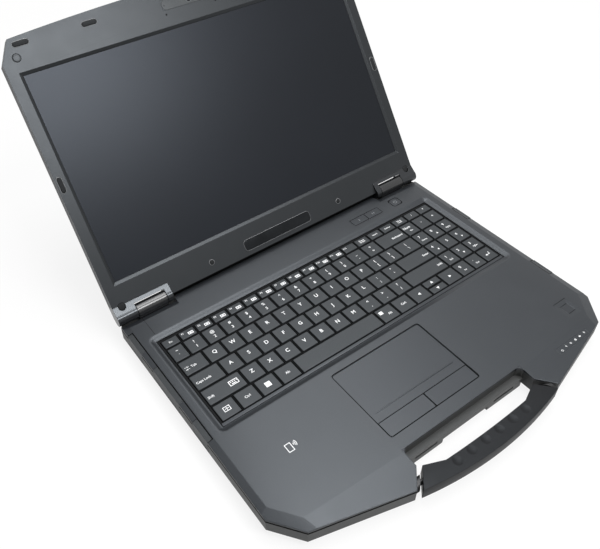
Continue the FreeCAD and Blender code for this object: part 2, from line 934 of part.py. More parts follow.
def powerShape(grow, low, high):
    half = f"(powerWidth / 2 + ({grow}))"
    deep = f"(powerDepth / 2 + ({grow}))"
    return prism(
        "XY_Plane",
        [
            (f"powerMiddle - {half}", f"buttonRow - {deep} + powerCorner"),
            (f"powerMiddle - {half} + powerCorner", f"buttonRow - {deep}"),
            (f"powerMiddle + {half} - powerCorner", f"buttonRow - {deep}"),
            (f"powerMiddle + {half}", f"buttonRow - {deep} + powerCorner"),
            (f"powerMiddle + {half}", f"buttonRow + {deep} - powerCorner"),
            (f"powerMiddle + {half} - powerCorner", f"buttonRow + {deep}"),
            (f"powerMiddle - {half} + powerCorner", f"buttonRow + {deep}"),
            (f"powerMiddle - {half}", f"buttonRow + {deep} - powerCorner"),
        ],
        low,
        high,
    )


def functionShape(index, grow, low, high):
    left = f"functionLeft + {index} * functionWidth"
    return box(
        (f"{left} + buttonFit - ({grow})", f"{left} + functionWidth - buttonFit + ({grow})"),
        (f"buttonRow - functionDepthY / 2 - ({grow})", f"buttonRow + functionDepthY / 2 + ({grow})"),
        (low, high),
    )


def readerBlock(grow, low, high):
    return box(
        (f"readerLeft - ({grow})", f"readerLeft + readerWidth + ({grow})"),
        (f"-readerBack - readerDepth - ({grow})", f"-readerBack + ({grow})"),
        (low, high),
    )


def lightsBlock(grow, low, high):
    return box(
        (f"lightsLeft - ({grow})", f"lightsRight + ({grow})"),
        (f"-lightsFront - ({grow})", f"-lightsBack + ({grow})"),
        (low, high),
    )


def topCover():
    plate = prism("XY_Plane", bothSides(deckCorners), "seam", "deckTop")
    tray = box(
        ("-frameHalf - frameFit - trayWall", "frameHalf + frameFit + trayWall"),
        ("-frameFront - frameFit - trayWall", "frameBack + frameFit + trayWall"),
        ("trayBottom", "seam"),
    )
    padWell = box(
        ("-padLeft - padButtonMargin", "padRight + padButtonMargin"),
        ("-padButtonFront - padButtonMargin", "-padFront + padButtonMargin"),
        ("seam - padButtonWell", "seam"),
    )
    keyWell = box(
        ("functionLeft - buttonWellReach", "powerMiddle + powerWidth / 2 + buttonWellReach"),
        ("buttonRow - powerDepth / 2 - buttonWellReach", "buttonRow + powerDepth / 2 + buttonWellReach"),
        ("seam - buttonWell", "seam"),
    )
    bosses = [rod("z", "bossRadius", x, y, "floorTop", "seam - floorTop") for x, y in screwPlaces]
    slopes = deckSlopes()
    openings = slopes + [mirrored(slope) for slope in slopes]
    openings.append(
        tapered(
            ("-frameHalf - frameFit", "frameHalf + frameFit"),
            ("-frameFront - frameFit", "frameBack + frameFit"),
            ("capTop", "deckTop"),
            "-recessSlope",
        )
    )
    openings.append(
        box(
            ("-frameHalf - frameFit", "frameHalf + frameFit"),
            ("-frameFront - frameFit", "frameBack + frameFit"),
            ("traySeat", "deckTop + past"),
        )
    )
    openings.append(
        box(("-padLeft", "padRight"), ("-padFront", "-padBack"), ("padSeat", "deckTop + past"))
    )
    openings.append(
        box(("-padLeft", "padRight"), ("-padButtonFront", "-padFront"), ("padTop", "deckTop + past"))
    )
    for side in (-1, 1):
        openings.append(
            padButton(side, "buttonFit", "seam - padButtonWell + padButtonFloor", "deckTop + past")
        )
        hinge = prism(
            "YZ_Plane",
            [
                ("deckHingeRear - hingeBevel", "deckTop"),
                ("deckHingeRear - hingeBevel", "deckTop + past"),
                ("deckHingeRear + hingeBevel", "deckTop + past"),
                ("deckHingeRear + hingeBevel", "deckTop - 2 * hingeBevelDrop"),
            ],
            *spread(("knuckleInner - hingeMargin", "halfWidth + past"), side),
        )
        openings.append(hinge)
    wellFloor = "seam - buttonWell + buttonFloor"
    openings.append(powerShape("buttonFit", wellFloor, "deckTop + past"))
    for index in range(2):
        openings.append(functionShape(index, "buttonFit", wellFloor, "deckTop + past"))
    openings.append(readerBlock("runningFit", "deckTop - readerSink - readerThickness", "deckTop + past"))
    openings.append(
        tapered(
            ("readerLeft", "readerLeft + readerWidth"),
            ("-readerBack - readerDepth", "-readerBack"),
            ("deckTop - readerSink", "deckTop"),
            "-readerHollow",
        )
    )
    openings.append(lightsBlock("runningFit", "deckTop - lightsThickness", "deckTop + past"))
    for start, end, side in doors.values():
        reach = "halfWidth - doorFlange - doorFit" if side < 0 else "doorRecess"
        openings.append(
            box(
                spread((reach, "halfWidth + past"), side),
                doorSpace(start, end),
                ("seam - past", "deckTop + past"),
            )
        )
    for x, y in screwPlaces:
        openings.append(rod("z", "shankRadius + runningFit", x, y, "floorTop - past", "shankLength + past"))
    finish("top_cover", cut(join(plate, tray, padWell, keyWell, *bosses), *openings))


def deckFittings():
    pad = box(
        ("-padLeft + runningFit", "padRight - runningFit"),
        ("-padFront + runningFit", "-padBack - runningFit"),
        ("padSeat", "padTop"),
    )
    finish("touchpad", pad)
    for side, node in ((-1, "touchpad_button_left"), (1, "touchpad_button_right")):
        finish(node, padButton(side, "0", "padTop - padButtonHeight", "padTop"))
    finish("power_button", powerShape("0", "buttonTop - buttonHeight", "buttonTop"))
    for index, node in enumerate(("function_button_left", "function_button_right")):
        finish(node, functionShape(index, "0", "buttonTop - buttonHeight", "buttonTop"))
    finish(
        "fingerprint_reader",
        readerBlock("0", "deckTop - readerSink - readerThickness", "deckTop - readerSink"),
    )
    lights = lightsBlock("0", "deckTop - lightsThickness", "deckTop")
    finish("status_lights", cut(lights, frontSlopeTool()))


def portDoor(node, start, end, side):
    sign = "" if side > 0 else "-"
    if side < 0:
        corners = [
            ("halfWidth", "doorAxisHeight"),
            ("halfWidth", "doorTop"),
            ("halfWidth - doorFlange", "doorTop + doorCrown"),
            ("halfWidth - doorFlange", "doorTop + doorCrown - doorFlangeDrop"),
            ("doorInside", "doorTop + doorCrown - doorFlangeDrop"),
            ("doorInside", "doorAxisHeight"),
        ]
    else:
        corners = [
            ("halfWidth", "doorAxisHeight"),
            ("halfWidth", "doorTop - 2 * doorLip"),
            ("halfWidth + doorProud", "doorTop - doorLip"),
            ("halfWidth + doorProud", "doorTop"),
            ("doorInside", "doorTop"),
            ("doorInside", "doorAxisHeight"),
        ]
    leaf = prism("XZ_Plane", [(f"{sign}({x})", z) for x, z in corners], start, end)
    axis = f"{sign}(doorAxisX)"
    knuckle = rod("y", "doorThickness / 2", axis, start, "doorAxisHeight", f"{end} - {start}")
    pin = rod(
        "y",
        "doorPinRadius",
        axis,
        f"{start} - doorPinReach",
        "doorAxisHeight",
        f"{end} - {start} + 2 * doorPinReach",
    )
    finish(node, join(leaf, knuckle, pin))


def handle():
    tip = ("recessHalf - handleTip", "-recessBend - handleGap + handleTip * noseSlope")
    right = [
        ("handleKinkHalf", "-handleInner"),
        tip,
        ("handleEnd", "-recessBend - handleGap - (handleEnd - recessHalf) * noseSlope"),
    ]
    grip = prism(
        "XY_Plane",
        bothSides(right),
        "handleAxisHeight - handleThickness / 2",
        "handleAxisHeight + handleThickness / 2",
        bends={2: ("0", "-handleOuter"), 5: ("0", "-handleInnerMiddle")},
    )
    bore = rod(
        "x",
        "handlePinRadius + runningFit",
        "handlePinStart - runningFit",
        "-handleAxis",
        "handleAxisHeight",
        "handlePinOut + handlePinIn",
    )
    dimples = [
        ball(
            "gripRadius",
            f"{index - 2.5} * gripPitch",
            "-gripBack",
            "handleAxisHeight + handleThickness / 2 + gripRadius - gripDepth",
        )
        for index in range(6)
    ]
    finish("carry_handle", cut(grip, bore, mirrored(bore), *dimples))
    pin = rod(
        "x",
        "handlePinRadius",
        "handlePinStart",
        "-handleAxis",
        "handleAxisHeight",
        "handlePinOut + handlePinIn",
    )
    collar = cut(
        rod(
            "x",
            "collarRadius",
            "handlePinStart",
            "-handleAxis",
            "handleAxisHeight",
            "handlePinOut + handlePinIn",
        ),
        besideNose("0", "handlePinIn + handlePinOut"),
        besideNose("-handlePinOut - handlePinIn", "-collarReach"),
    )
    right = join(pin, collar)
    finish("handle_pins", together(right, mirrored(right)))


# slanted block that follows the end face of the handle recess, from near to far along x
def besideNose(near, far):
    low = "recessBend - handlePinOut"
    high = "noseReach + handlePinOut"
    return prism(
        "XY_Plane",
        [
            (f"recessHalf - handlePinOut / noseSlope + ({near})", f"-({low})"),
            (f"recessHalf - handlePinOut / noseSlope + ({far})", f"-({low})"),
            (f"noseHalf + handlePinOut / noseSlope + ({far})", f"-({high})"),
            (f"noseHalf + handlePinOut / noseSlope + ({near})", f"-({high})"),
        ],
        "0",
        "deckTop",
    )


def hingeHousings():
    barrel = rod(
        "x", "barrelRadius", "barrelInner", "hingeBack", "hingeHeight", "barrelOuter - barrelInner"
    )
    foot = box(
        ("barrelInner", "barrelOuter"),
        ("hingeBack - footFront", "hingeBack + footRear"),
        ("shelfHeight", "hingeHeight"),
    )
    bore = rod(
        "x",
        "pinRadius + runningFit",
        "barrelInner - past",
        "hingeBack",
        "hingeHeight",
        "barrelOuter - barrelInner + 2 * past",
    )
    right = cut(join(barrel, foot), bore)
    finish("hinge_housings", together(right, mirrored(right)))


def insideBase():
    board = box(("-boardHalf", "boardHalf"), ("-boardFront", "boardBack"), ("boardSeat", "boardTop"))
    chip = box(
        ("chipX - chipSide / 2", "chipX + chipSide / 2"),
        ("chipY - chipSide / 2", "chipY + chipSide / 2"),
        ("boardTop", "chipTop"),
    )
    cards = {
        "memory_module": ("memoryX", "memoryY", "memoryLength", "memoryDepth"),
        "wireless_card": ("wirelessX", "wirelessY", "wirelessWidth", "wirelessDepth"),
        "solid_state_drive": ("driveX", "driveY", "driveWidth", "driveDepth"),
    }
    seats = []
    for node, (x, y, width, depth) in cards.items():
        across = (f"{x} - {width} / 2", f"{x} + {width} / 2")
        seats.append(box(across, (y, f"{y} + socketDepth"), ("boardTop", "cardSeat")))
        seats.append(
            box(across, (f"{y} + {depth} - socketDepth / 2", f"{y} + {depth}"), ("boardTop", "cardSeat"))
        )
        card = box(across, (y, f"{y} + {depth}"), ("cardSeat", "cardSeat + cardThickness"))
        finish(node, card)
    finish("mainboard", join(board, chip, *seats))
    plate = box(
        ("chipX - spreaderWidth / 2", "chipX + spreaderWidth / 2"),
        ("chipY - spreaderDepth / 2", "chipY + spreaderDepth / 2"),
        ("chipTop", "chipTop + spreaderThickness"),
    )
    pipe = rod(
        "x",
        "pipeRadius",
        "chipX - spreaderWidth / 2",
        "chipY",
        "chipTop + spreaderThickness + pipeRadius / 2",
        "spreaderWidth",
    )
    finish("heat_spreader", join(plate, pipe))
    finish("clock_cell", rod("z", "cellRadius", "cellX", "cellY", "boardTop", "cellHeight"))
    finish(
        "battery_pack",
        box(
            ("-batteryHalf", "batteryHalf"),
            ("-batteryFront", "-batteryBack"),
            ("floorTop", "floorTop + batteryHeight"),
        ),
    )
    speakers = [
        box(
            spread(("speakerInner", "speakerOuter"), side),
            ("-cavityFront", "-cavityFront + speakerDepth"),
            ("floorTop", "floorTop + speakerHeight"),
        )
        for side in (-1, 1)
    ]
    finish("speakers", together(*speakers))
    sheetArea = box(
        ("-antennaLeft", "-antennaRight"),
        ("-antennaFront", "-antennaBack"),
        ("seam - antennaThickness", "seam"),
    )
    window = box(
        ("-antennaLeft + antennaTrack", "-antennaRight - antennaTrack"),
        ("-antennaFront + antennaTrack", "-antennaBack - antennaTrack"),
        ("seam - past", "seam + past"),
    )
    finish("contactless_antenna", cut(sheetArea, window))
    for node, side, sockets in (("left_ports", -1, leftSockets), ("right_ports", 1, rightSockets)):
        shells = []
        for middle, width, height, seat in sockets:
            shell = box(
                spread(("portOuter - portDepth", "portOuter"), side),
                (f"{middle} - {width} / 2", f"{middle} + {width} / 2"),
                (seat, f"{seat} + {height}"),
            )
            mouth = box(
                spread(("portOuter - portDepth + 4 * portWall", "portOuter + past"), side),
                (f"{middle} - {width} / 2 + portWall", f"{middle} + {width} / 2 - portWall"),
                (f"{seat} + {height} - 5 * portWall", f"{seat} + {height} - portWall"),
            )
            shells.append(cut(shell, mouth))
        finish(node, together(*shells))


lidCorners = [
    ("lidHalf", "lidShoulder"),
    ("lidCornerHalf", "lidCornerReach"),
]
lidArch = ("0", "lidTop")
bumperPlaces = [
    (f"{side} * {x}", y, width, length)
    for side in (-1, 1)
    for x, y, width, length in (
        ("sideBumperX", "sideBumperY", "bumperWidth", "bumperLength"),
        ("topBumperInner", "topBumperY", "bumperLength", "bumperWidth"),
        ("topBumperOuter", "topBumperY", "bumperLength", "bumperWidth"),
    )
]
nubPlaces = [(f"{side} * nubX", "nubY") for side in (-1, 1)]
capPlaces = [
    (f"{side} * {x}", y)
    for side in (-1, 1)
    for x, y in (("topCapX", "topCapY"), ("hingeCapX", "hingeCapY"))
]


def bumperBlock(place, low, high):
    x, y, width, length = place
    return box(
        (f"{x} - {width} / 2", f"{x} + {width} / 2"),
        (f"{y} - {length} / 2", f"{y} + {length} / 2"),
        (low, high),
    )


def capHoles():
    return [
        rod("z", "screwCapRadius + screwCapFit", x, y, "lidFace - screwCapSeat", "2 * barrelRadius")
        for x, y in capPlaces
    ]


def lidRearCover():
    shell = prism(
        "XY_Plane",
        bothSides([("lidHalf", "0")] + lidCorners),
        "lidRear",
        "bezelBack",
        bends={2: lidArch},
    )
    cavity = prism(
        "XY_Plane",
        bothSides(
            [
                ("knuckleInner - lidWall", "lidWall"),
                ("knuckleInner - lidWall", "armFoot - past"),
                ("lidHalf - lidWall", "armFoot - past"),
                ("lidHalf - lidWall", "lidShoulder - lidWall / 2"),
                ("lidCornerHalf - lidWall / 2", "lidCornerReach - lidWall"),
            ]
        ),
        "lidFloor",
        "bezelBack + past",
    )
    knuckles = []
    openings = [cavity]
    for side in (-1, 1):
        knuckles.append(
            prism(
                "YZ_Plane",
                [
                    ("0", "0"),
                    ("knuckleReach", "0"),
                    ("knuckleReach", "lidFace"),
                    ("0", "barrelRadius"),
                ],
                *spread(("knuckleInner", "lidHalf"), side),
            )
        )
        start = "knuckleInner" if side > 0 else "-lidHalf"
        knuckles.append(rod("x", "barrelRadius", start, "0", "0", "lidHalf - knuckleInner"))
        notch = spread(("barrelInner - notchGap", "barrelOuter + notchGap"), side)
        openings.append(box(notch, ("-2 * barrelRadius", "notchReach"), ("2 * lidRear", "-2 * lidRear")))
        lug = spread(("barrelOuter", "lugOuter + lugFit"), side)
        openings.append(
            box(lug, ("-lugBelow - lugFit", "lugBend + lugFit"), ("-lugBack - lugFit", "lugFront + lugFit"))
        )
        openings.append(box(lug, ("lugBend", "armFoot"), ("-lugBack - lugFit", "bezelBack")))
    onLid("lid_rear_cover", cut(join(shell, *knuckles), *openings, *capHoles()))


def lidBezel():
    plate = prism(
        "XY_Plane",
        bothSides(
            [
                ("knuckleInner - bezelFit", "0"),
                ("knuckleInner - bezelFit", "knuckleReach + bezelFit"),
                ("lidHalf", "knuckleReach + bezelFit"),
            ]
            + lidCorners
        ),
        "bezelBack",
        "lidFace",
        bends={4: lidArch},
    )
    view = tapered(
        ("-screenHalf", "screenHalf"),
        ("screenBottom", "screenTop"),
        ("bezelBack", "lidFace"),
        "-bezelBevel",
    )
    openings = [view] + capHoles()
    openings += [bumperBlock(place, "bumperFloor", "lidFace + past") for place in bumperPlaces]
    openings += [rod("z", "nubRadius", x, y, "bumperFloor", "2 * bumperSeat") for x, y in nubPlaces]
    openings.append(plateBlock("lidFace + past"))
    openings.append(windowBlock("bezelBack - past", "lidFace + past"))
    for side in (-1, 1):
        place = (f"{side} * microphoneX", "microphoneY", "bezelBack - past")
        openings.append(rod("z", "microphoneRadius", *place, "lidThickness"))
    onLid("lid_bezel", cut(plate, *openings))


def plateBlock(high):
    return box(
        ("-plateHalf", "plateHalf"),
        ("plateBottom", "plateBottom + plateHeight"),
        ("lidFace - plateThickness", high),
    )


def windowBlock(low, high):
    return box(
        ("-windowHalf", "windowHalf"),
        ("windowBottom", "windowBottom + windowHeight"),
        (low, high),
    )


def lidFittings():
    onLid("name_plate", together(plateBlock("lidFace")))
    module = box(
        ("-cameraHalf", "cameraHalf"),
        ("windowBottom + cameraMargin", "windowBottom + windowHeight - cameraMargin"),
        ("bezelBack - cameraDepth", "bezelBack"),
    )
    onLid("webcam", join(windowBlock("bezelBack", "lidFace"), module))
    bumpers = [bumperBlock(place, "bumperFloor", "lidFace + bumperProud") for place in bumperPlaces]
    nubs = [rod("z", "nubRadius", x, y, "bumperFloor", "bumperSeat + bumperProud") for x, y in nubPlaces]
    onLid("lid_bumpers", together(*bumpers, *nubs))
    caps = [
        rod("z", "screwCapRadius", x, y, "lidFace - screwCapSeat", "screwCapSeat") for x, y in capPlaces
    ]
    onLid("lid_screw_caps", together(*caps))
    panel = box(
        ("-screenHalf - panelMarginSide", "screenHalf + panelMarginSide"),
        ("screenBottom - panelMarginBottom", "screenTop + panelMarginTop"),
        ("panelBack", "bezelBack"),
    )
    onLid("display_panel", together(panel))
    aerials = [
        box(
            spread(("aerialInner", "aerialOuter"), side),
            ("aerialBottom", "aerialBottom + aerialWidth"),
            ("lidFloor", "lidFloor + aerialThickness"),
        )
        for side in (-1, 1)
    ]
    onLid("lid_aerials", together(*aerials))


def hingeArms():
    arm = box(("armInner", "armOuter"), ("armFoot", "armReach"), ("lidFloor", "panelBack"))
    reach = ("barrelOuter + notchGap", "lugOuter")
    lug = box(reach, ("-lugBelow", "lugBend"), ("-lugBack", "lugFront"))
    neck = box(reach, ("lugBend", "lugReach"), ("-lugBack", "lugShoulder"))
    pin = rod("x", "pinRadius", "barrelInner", "0", "0", "lugOuter - barrelInner")
    right = join(arm, lug, neck, pin)
    onLid("hinge_arms", together(right, mirrored(right)))


bottomCase()
topCover()
keyboard()
deckFittings()
for node, (start, end, side) in doors.items():
    portDoor(node, start, end, side)
handle()
hingeHousings()
feet()
baseScrews()
insideBase()
lidRearCover()
lidBezel()
lidFittings()
hingeArms()
doc.recompute()

broken = [part.Label for part in doc.Objects if "Invalid" in part.State or "Error" in part.State]
for node, thing in finished.items():
    if thing.Shape.isNull() or not thing.Shape.isValid() or not thing.Shape.Solids:
        broken.append(node)
if broken:
    raise RuntimeError("these did not build: " + ", ".join(broken))

os.makedirs("parts", exist_ok=True)
for node, thing in finished.items():
    thing.Shape.exportStep(f"parts/{node}.step")
    print(node, len(thing.Shape.Solids), round(thing.Shape.Volume))
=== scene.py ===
import json
import math

import bmesh
import bpy
from mathutils import Matrix, Vector
from mathutils.geometry import convex_hull_2d


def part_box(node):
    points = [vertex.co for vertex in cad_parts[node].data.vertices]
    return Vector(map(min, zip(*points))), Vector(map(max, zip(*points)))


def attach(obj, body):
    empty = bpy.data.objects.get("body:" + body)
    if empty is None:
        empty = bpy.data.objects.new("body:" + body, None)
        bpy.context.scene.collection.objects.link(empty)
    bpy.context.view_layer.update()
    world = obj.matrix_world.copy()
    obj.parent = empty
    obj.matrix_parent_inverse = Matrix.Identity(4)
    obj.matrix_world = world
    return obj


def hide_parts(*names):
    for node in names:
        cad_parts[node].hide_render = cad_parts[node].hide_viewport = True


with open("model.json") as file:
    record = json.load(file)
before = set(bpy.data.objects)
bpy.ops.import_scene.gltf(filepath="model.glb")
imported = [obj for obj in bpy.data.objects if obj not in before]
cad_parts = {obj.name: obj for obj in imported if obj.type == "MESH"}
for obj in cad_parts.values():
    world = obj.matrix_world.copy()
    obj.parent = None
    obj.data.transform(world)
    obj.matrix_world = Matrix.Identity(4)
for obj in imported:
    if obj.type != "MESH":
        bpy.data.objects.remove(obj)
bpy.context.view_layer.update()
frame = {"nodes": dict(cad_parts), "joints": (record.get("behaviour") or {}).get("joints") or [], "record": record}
nodes = frame["nodes"]
bodies = frame["record"]["behaviour"]["bodies"]
bodyOf = {node: body for body, names in bodies.items() for node in names}
slotOf = {part["node"]: part["material_slot"] for part in frame["record"]["subparts"]}
mm = 0.001

# the lid lies flat on its hinge line, then turns up by the open angle
hinge = next(joint for joint in frame["joints"] if joint["name"] == "lid_hinge")
openTurn = Matrix.Rotation(math.radians(180 - hinge["range_deg"][1]), 4, "X")
lidTurn = Matrix.Translation(hinge["pos_m"]) @ openTurn
lidFlat = lidTurn.inverted()


# node trees: another node's output is linked to a socket, and any other value is set on it
def feed(tree, socket, value):
    if isinstance(value, bpy.types.NodeSocket):
        tree.links.new(value, socket)
    else:
        socket.default_value = value


def addNode(tree, kind, inputs, **settings):
    node = tree.nodes.new(kind)
    for name, value in settings.items():
        setattr(node, name, value)
    for key, value in inputs.items():
        feed(tree, node.inputs[key], value)
    return node


def mathNode(tree, kind, first, second=0.0):
    return addNode(tree, "ShaderNodeMath", {0: first, 1: second}, operation=kind).outputs[0]


def vectorNode(tree, kind, first, second=(0, 0, 0)):
    return addNode(tree, "ShaderNodeVectorMath", {0: first, 1: second}, operation=kind).outputs


def objectPlace(tree):
    return tree.nodes.new("ShaderNodeTexCoord").outputs["Object"]


def axes(tree):
    return addNode(tree, "ShaderNodeSeparateXYZ", {0: objectPlace(tree)}).outputs


def spread(tree, value, low, high, fromLow=0.3, fromHigh=0.7):
    limits = {"From Min": fromLow, "From Max": fromHigh, "To Min": low, "To Max": high}
    return addNode(tree, "ShaderNodeMapRange", {"Value": value, **limits}).outputs["Result"]


# camera, floor and light
view = {
    "place": (-0.308935, -0.292542, 0.490436),
    "turn": (0.823686, 0.026984, -0.617426),
    "lens": 41.27424,
    "sensor": 36,
    "shift": (0.0593678, -0.0252799),
}
studio = {
    "fill": (0.10, 0.10, 0.10, 1),  # grey of the room, as the object sees it
    "white": (1, 1, 1, 1),
    "paper": (0.85, 0.85, 0.85, 1),
    "floorSize": 6.0,
    "shadowShare": 0.15,
    "shadowReach": (0.3, 1.1),  # the floor turns plain white between these distances, m
    "softboxes": {
        # name: (place, aim, width, height, watts)
        "topBox": ((0.15, 0.12, 1.45), (0.15, 0.02, 0), 1.0, 0.75, 18),
        "frontBox": ((0.25, -0.92, 1.45), (0.25, 0.15, 0.15), 0.75, 0.55, 20),
        "backBox": ((0.55, 1.00, 1.40), (0.55, 0, 0), 0.9, 0.8, 7),
    },
}


def addObject(name, data):
    thing = bpy.data.objects.new(name, data)
    bpy.context.collection.objects.link(thing)
    return thing


def setCamera():
    lens = bpy.data.cameras.new("photoCamera")
    lens.lens = view["lens"]
    lens.sensor_width = view["sensor"]
    lens.shift_x, lens.shift_y = view["shift"]
    camera = addObject("photoCamera", lens)
    camera.location = view["place"]
    camera.rotation_euler = view["turn"]
    bpy.context.scene.camera = camera


def seenDirectly(tree):
    # 1 for what the camera sees straight, in a reflection or through glass
    path = tree.nodes.new("ShaderNodeLightPath").outputs
    first = mathNode(tree, "MAXIMUM", path["Is Camera Ray"], path["Is Transmission Ray"])
    return mathNode(tree, "MAXIMUM", first, path["Is Glossy Ray"])


def emptyTree(owner):
    owner.use_nodes = True
    owner.node_tree.nodes.clear()
    return owner.node_tree


def setStudio():
    world = bpy.data.worlds.new("studioRoom")
    bpy.context.scene.world = world
    tree = emptyTree(world)
    room, white = (
        addNode(tree, "ShaderNodeBackground", {"Color": studio[name]}).outputs[0]
        for name in ("fill", "white")
    )
    mix = addNode(tree, "ShaderNodeMixShader", {0: seenDirectly(tree), 1: room, 2: white})
    addNode(tree, "ShaderNodeOutputWorld", {0: mix.outputs[0]})
    for name, (place, aim, width, height, watts) in studio["softboxes"].items():
        lamp = bpy.data.lights.new(name, "AREA")
        lamp.shape = "RECTANGLE"
        lamp.size, lamp.size_y = width, height
        lamp.energy = watts
        box = addObject(name, lamp)
        box.location = place
        box.rotation_euler = (Vector(aim) - Vector(place)).to_track_quat("-Z", "Y").to_euler()


def setFloor():
    half = studio["floorSize"] / 2
    mesh = bpy.data.meshes.new("paleFloor")
    corners = [(-half, -half, 0), (half, -half, 0), (half, half, 0), (-half, half, 0)]
    mesh.from_pydata(corners, [], [(0, 1, 2, 3)])
    floor = addObject("paleFloor", mesh)
    paper = bpy.data.materials.new("palePaper")
    tree = emptyTree(paper)
    diffuse = addNode(tree, "ShaderNodeBsdfDiffuse", {"Color": studio["paper"]}).outputs[0]
    glow = addNode(tree, "ShaderNodeEmission", {"Color": studio["white"]}).outputs[0]
    away = vectorNode(tree, "LENGTH", objectPlace(tree))["Value"]
    plain = spread(tree, away, 1 - studio["shadowShare"], 1.0, *studio["shadowReach"])
    share = mathNode(tree, "MULTIPLY", seenDirectly(tree), plain)
    mix = addNode(tree, "ShaderNodeMixShader", {0: share, 1: diffuse, 2: glow})
    addNode(tree, "ShaderNodeOutputMaterial", {0: mix.outputs[0]})
    mesh.materials.append(paper)


setCamera()
setStudio()
setFloor()
bpy.context.scene.view_settings.view_transform = "Standard"
print("studio: camera, floor and %d softboxes" % len(studio["softboxes"]))


# finishes
coolSheen = {"plastic": (0.87, 0.935, 1.0, 1), "screen": (0.80, 0.88, 1.0, 1)}


def begin(name, specular=None, sheen=None):
    material = bpy.data.materials.new(name)
    material.use_nodes = True
    tree = material.node_tree
    shader = tree.nodes["Principled BSDF"].inputs
    if specular is not None:
        shader["Specular IOR Level"].default_value = specular
    if sheen:
        shader["Specular Tint"].default_value = coolSheen[sheen]
    return material, tree, shader, objectPlace(tree)


def noise(tree, place, scale, detail=2.0, rough=0.5):
    inputs = {"Vector": place, "Scale": scale, "Detail": detail, "Roughness": rough}
    return addNode(tree, "ShaderNodeTexNoise", inputs).outputs["Fac"]


def blendColour(tree, share, first, second):
    # a Mix node's sockets 6 and 7 take its two colours, and its output 2 is a colour
    first, second = (value + (1,) if isinstance(value, tuple) else value for value in (first, second))
    return addNode(tree, "ShaderNodeMix", {0: share, 6: first, 7: second}, data_type="RGBA").outputs[2]


def tint(colour, by):
    return tuple(min(1.0, channel * by) for channel in colour)


def shades(tree, grain, colour, low, high):
    # a colour that runs between two shades of itself
    return blendColour(tree, spread(tree, grain, 0.0, 1.0), tint(colour, low), tint(colour, high))


def vary(tree, shader, grain, rough, by):
    feed(tree, shader["Roughness"], spread(tree, grain, rough - by, rough + by))


def roundedNormal(tree, radius):
    return addNode(tree, "ShaderNodeBevel", {"Radius": radius}, samples=4).outputs["Normal"]


def edgeWearAndHighlight(tree, normal):
    # how far the rounded normal leaves the face: 1 along an edge, 0 on a flat
    flat = tree.nodes.new("ShaderNodeNewGeometry").outputs["Normal"]
    return spread(tree, vectorNode(tree, "DOT_PRODUCT", normal, flat)["Value"], 1.0, 0.0, 0.75, 0.99)


def bump(tree, shader, height, depth, normal=None):
    node = addNode(tree, "ShaderNodeBump", {"Height": height, "Distance": depth})
    if normal is not None:
        feed(tree, node.inputs["Normal"], normal)
    feed(tree, shader["Normal"], node.outputs["Normal"])


def bumpInputs(tree):
    return next(node for node in tree.nodes if node.bl_idname == "ShaderNodeBump").inputs


def source(socket):
    return socket.links[0].from_socket


mouldings = {
    # name: colour, roughness, grain per metre, grain depth mm, lightening of the edges (wear and painted
    # highlight), specular
    "casePlastic": ((0.046, 0.046, 0.044), 0.50, 2600, 0.05, 0.35, 0.38),
    "deckPlastic": ((0.0155, 0.017, 0.0195), 0.35, 2600, 0.05, 0.30, 0.48),
    "lidPlastic": ((0.018, 0.0192, 0.0205), 0.48, 2200, 0.015, 0.30, 0.42),
    "bezelPlastic": ((0.006, 0.0065, 0.007), 0.36, 2600, 0.012, 0.25, 0.40),
    "keyPlastic": ((0.020, 0.0220, 0.0236), 0.45, 3200, 0.02, 0.25, 0.38),
    "keyFramePlastic": ((0.004, 0.004, 0.004), 0.65, 2600, 0.02, 0.05, 0.12),
    "touchpadPlastic": ((0.0155, 0.017, 0.020), 0.34, 3600, 0.015, 0.20, 0.48),
    "buttonPlastic": ((0.0155, 0.017, 0.020), 0.35, 3200, 0.02, 0.25, 0.48),
    "doorPlastic": ((0.026, 0.028, 0.029), 0.50, 2400, 0.05, 0.35, 0.38),
    "gripRubber": ((0.006, 0.006, 0.0066), 0.46, 3000, 0.04, 0.10, 0.18),
    "padRubber": ((0.008, 0.008, 0.008), 0.70, 1800, 0.04, 0.05, 0.25),
    "readerPlastic": ((0.015, 0.0163, 0.0186), 0.36, 3000, 0.02, 0.15, 0.45),
    "boxPlastic": ((0.020, 0.020, 0.022), 0.45, 1500, 0.03, 0.15, 0.45),
}
mould = {
    "rounding": 0.5 * mm,
    "clouds": 0.33,  # share of the grain's scale
    "cloudShades": (0.86, 1.14),
    "speckShade": 0.82,
    # how much lighter the edges are painted: partly wear, partly a painted highlight
    "wornShade": 4.0,
    "patches": 60,  # per metre, where the gloss varies
    "patchRough": 0.015,
}


def mouldedFinish(name, rounding=mould["rounding"]):
    colour, rough, grain, depth, wearAndHighlight, specular = mouldings[name]
    material, tree, shader, place = begin(name, specular, "plastic")
    clouds = noise(tree, place, grain * mould["clouds"], 2, 0.7)
    fine = noise(tree, place, grain, 2, 0.6)
    speck = spread(tree, fine, 0.0, 1.0, 0.35, 0.65)
    base = shades(tree, clouds, colour, *mould["cloudShades"])
    grained = blendColour(tree, speck, tint(colour, mould["speckShade"]), base)
    normal = roundedNormal(tree, rounding)
    # the edges are lightened, partly as wear and partly as a painted highlight along them
    scuffAndHighlight = mathNode(tree, "MULTIPLY", edgeWearAndHighlight(tree, normal), wearAndHighlight)
    wornAndHighlight = blendColour(tree, scuffAndHighlight, grained, tint(colour, mould["wornShade"]))
    feed(tree, shader["Base Color"], wornAndHighlight)
    vary(tree, shader, noise(tree, place, mould["patches"], 4), rough, mould["patchRough"])
    bump(tree, shader, fine, depth * mm, normal)
    return material


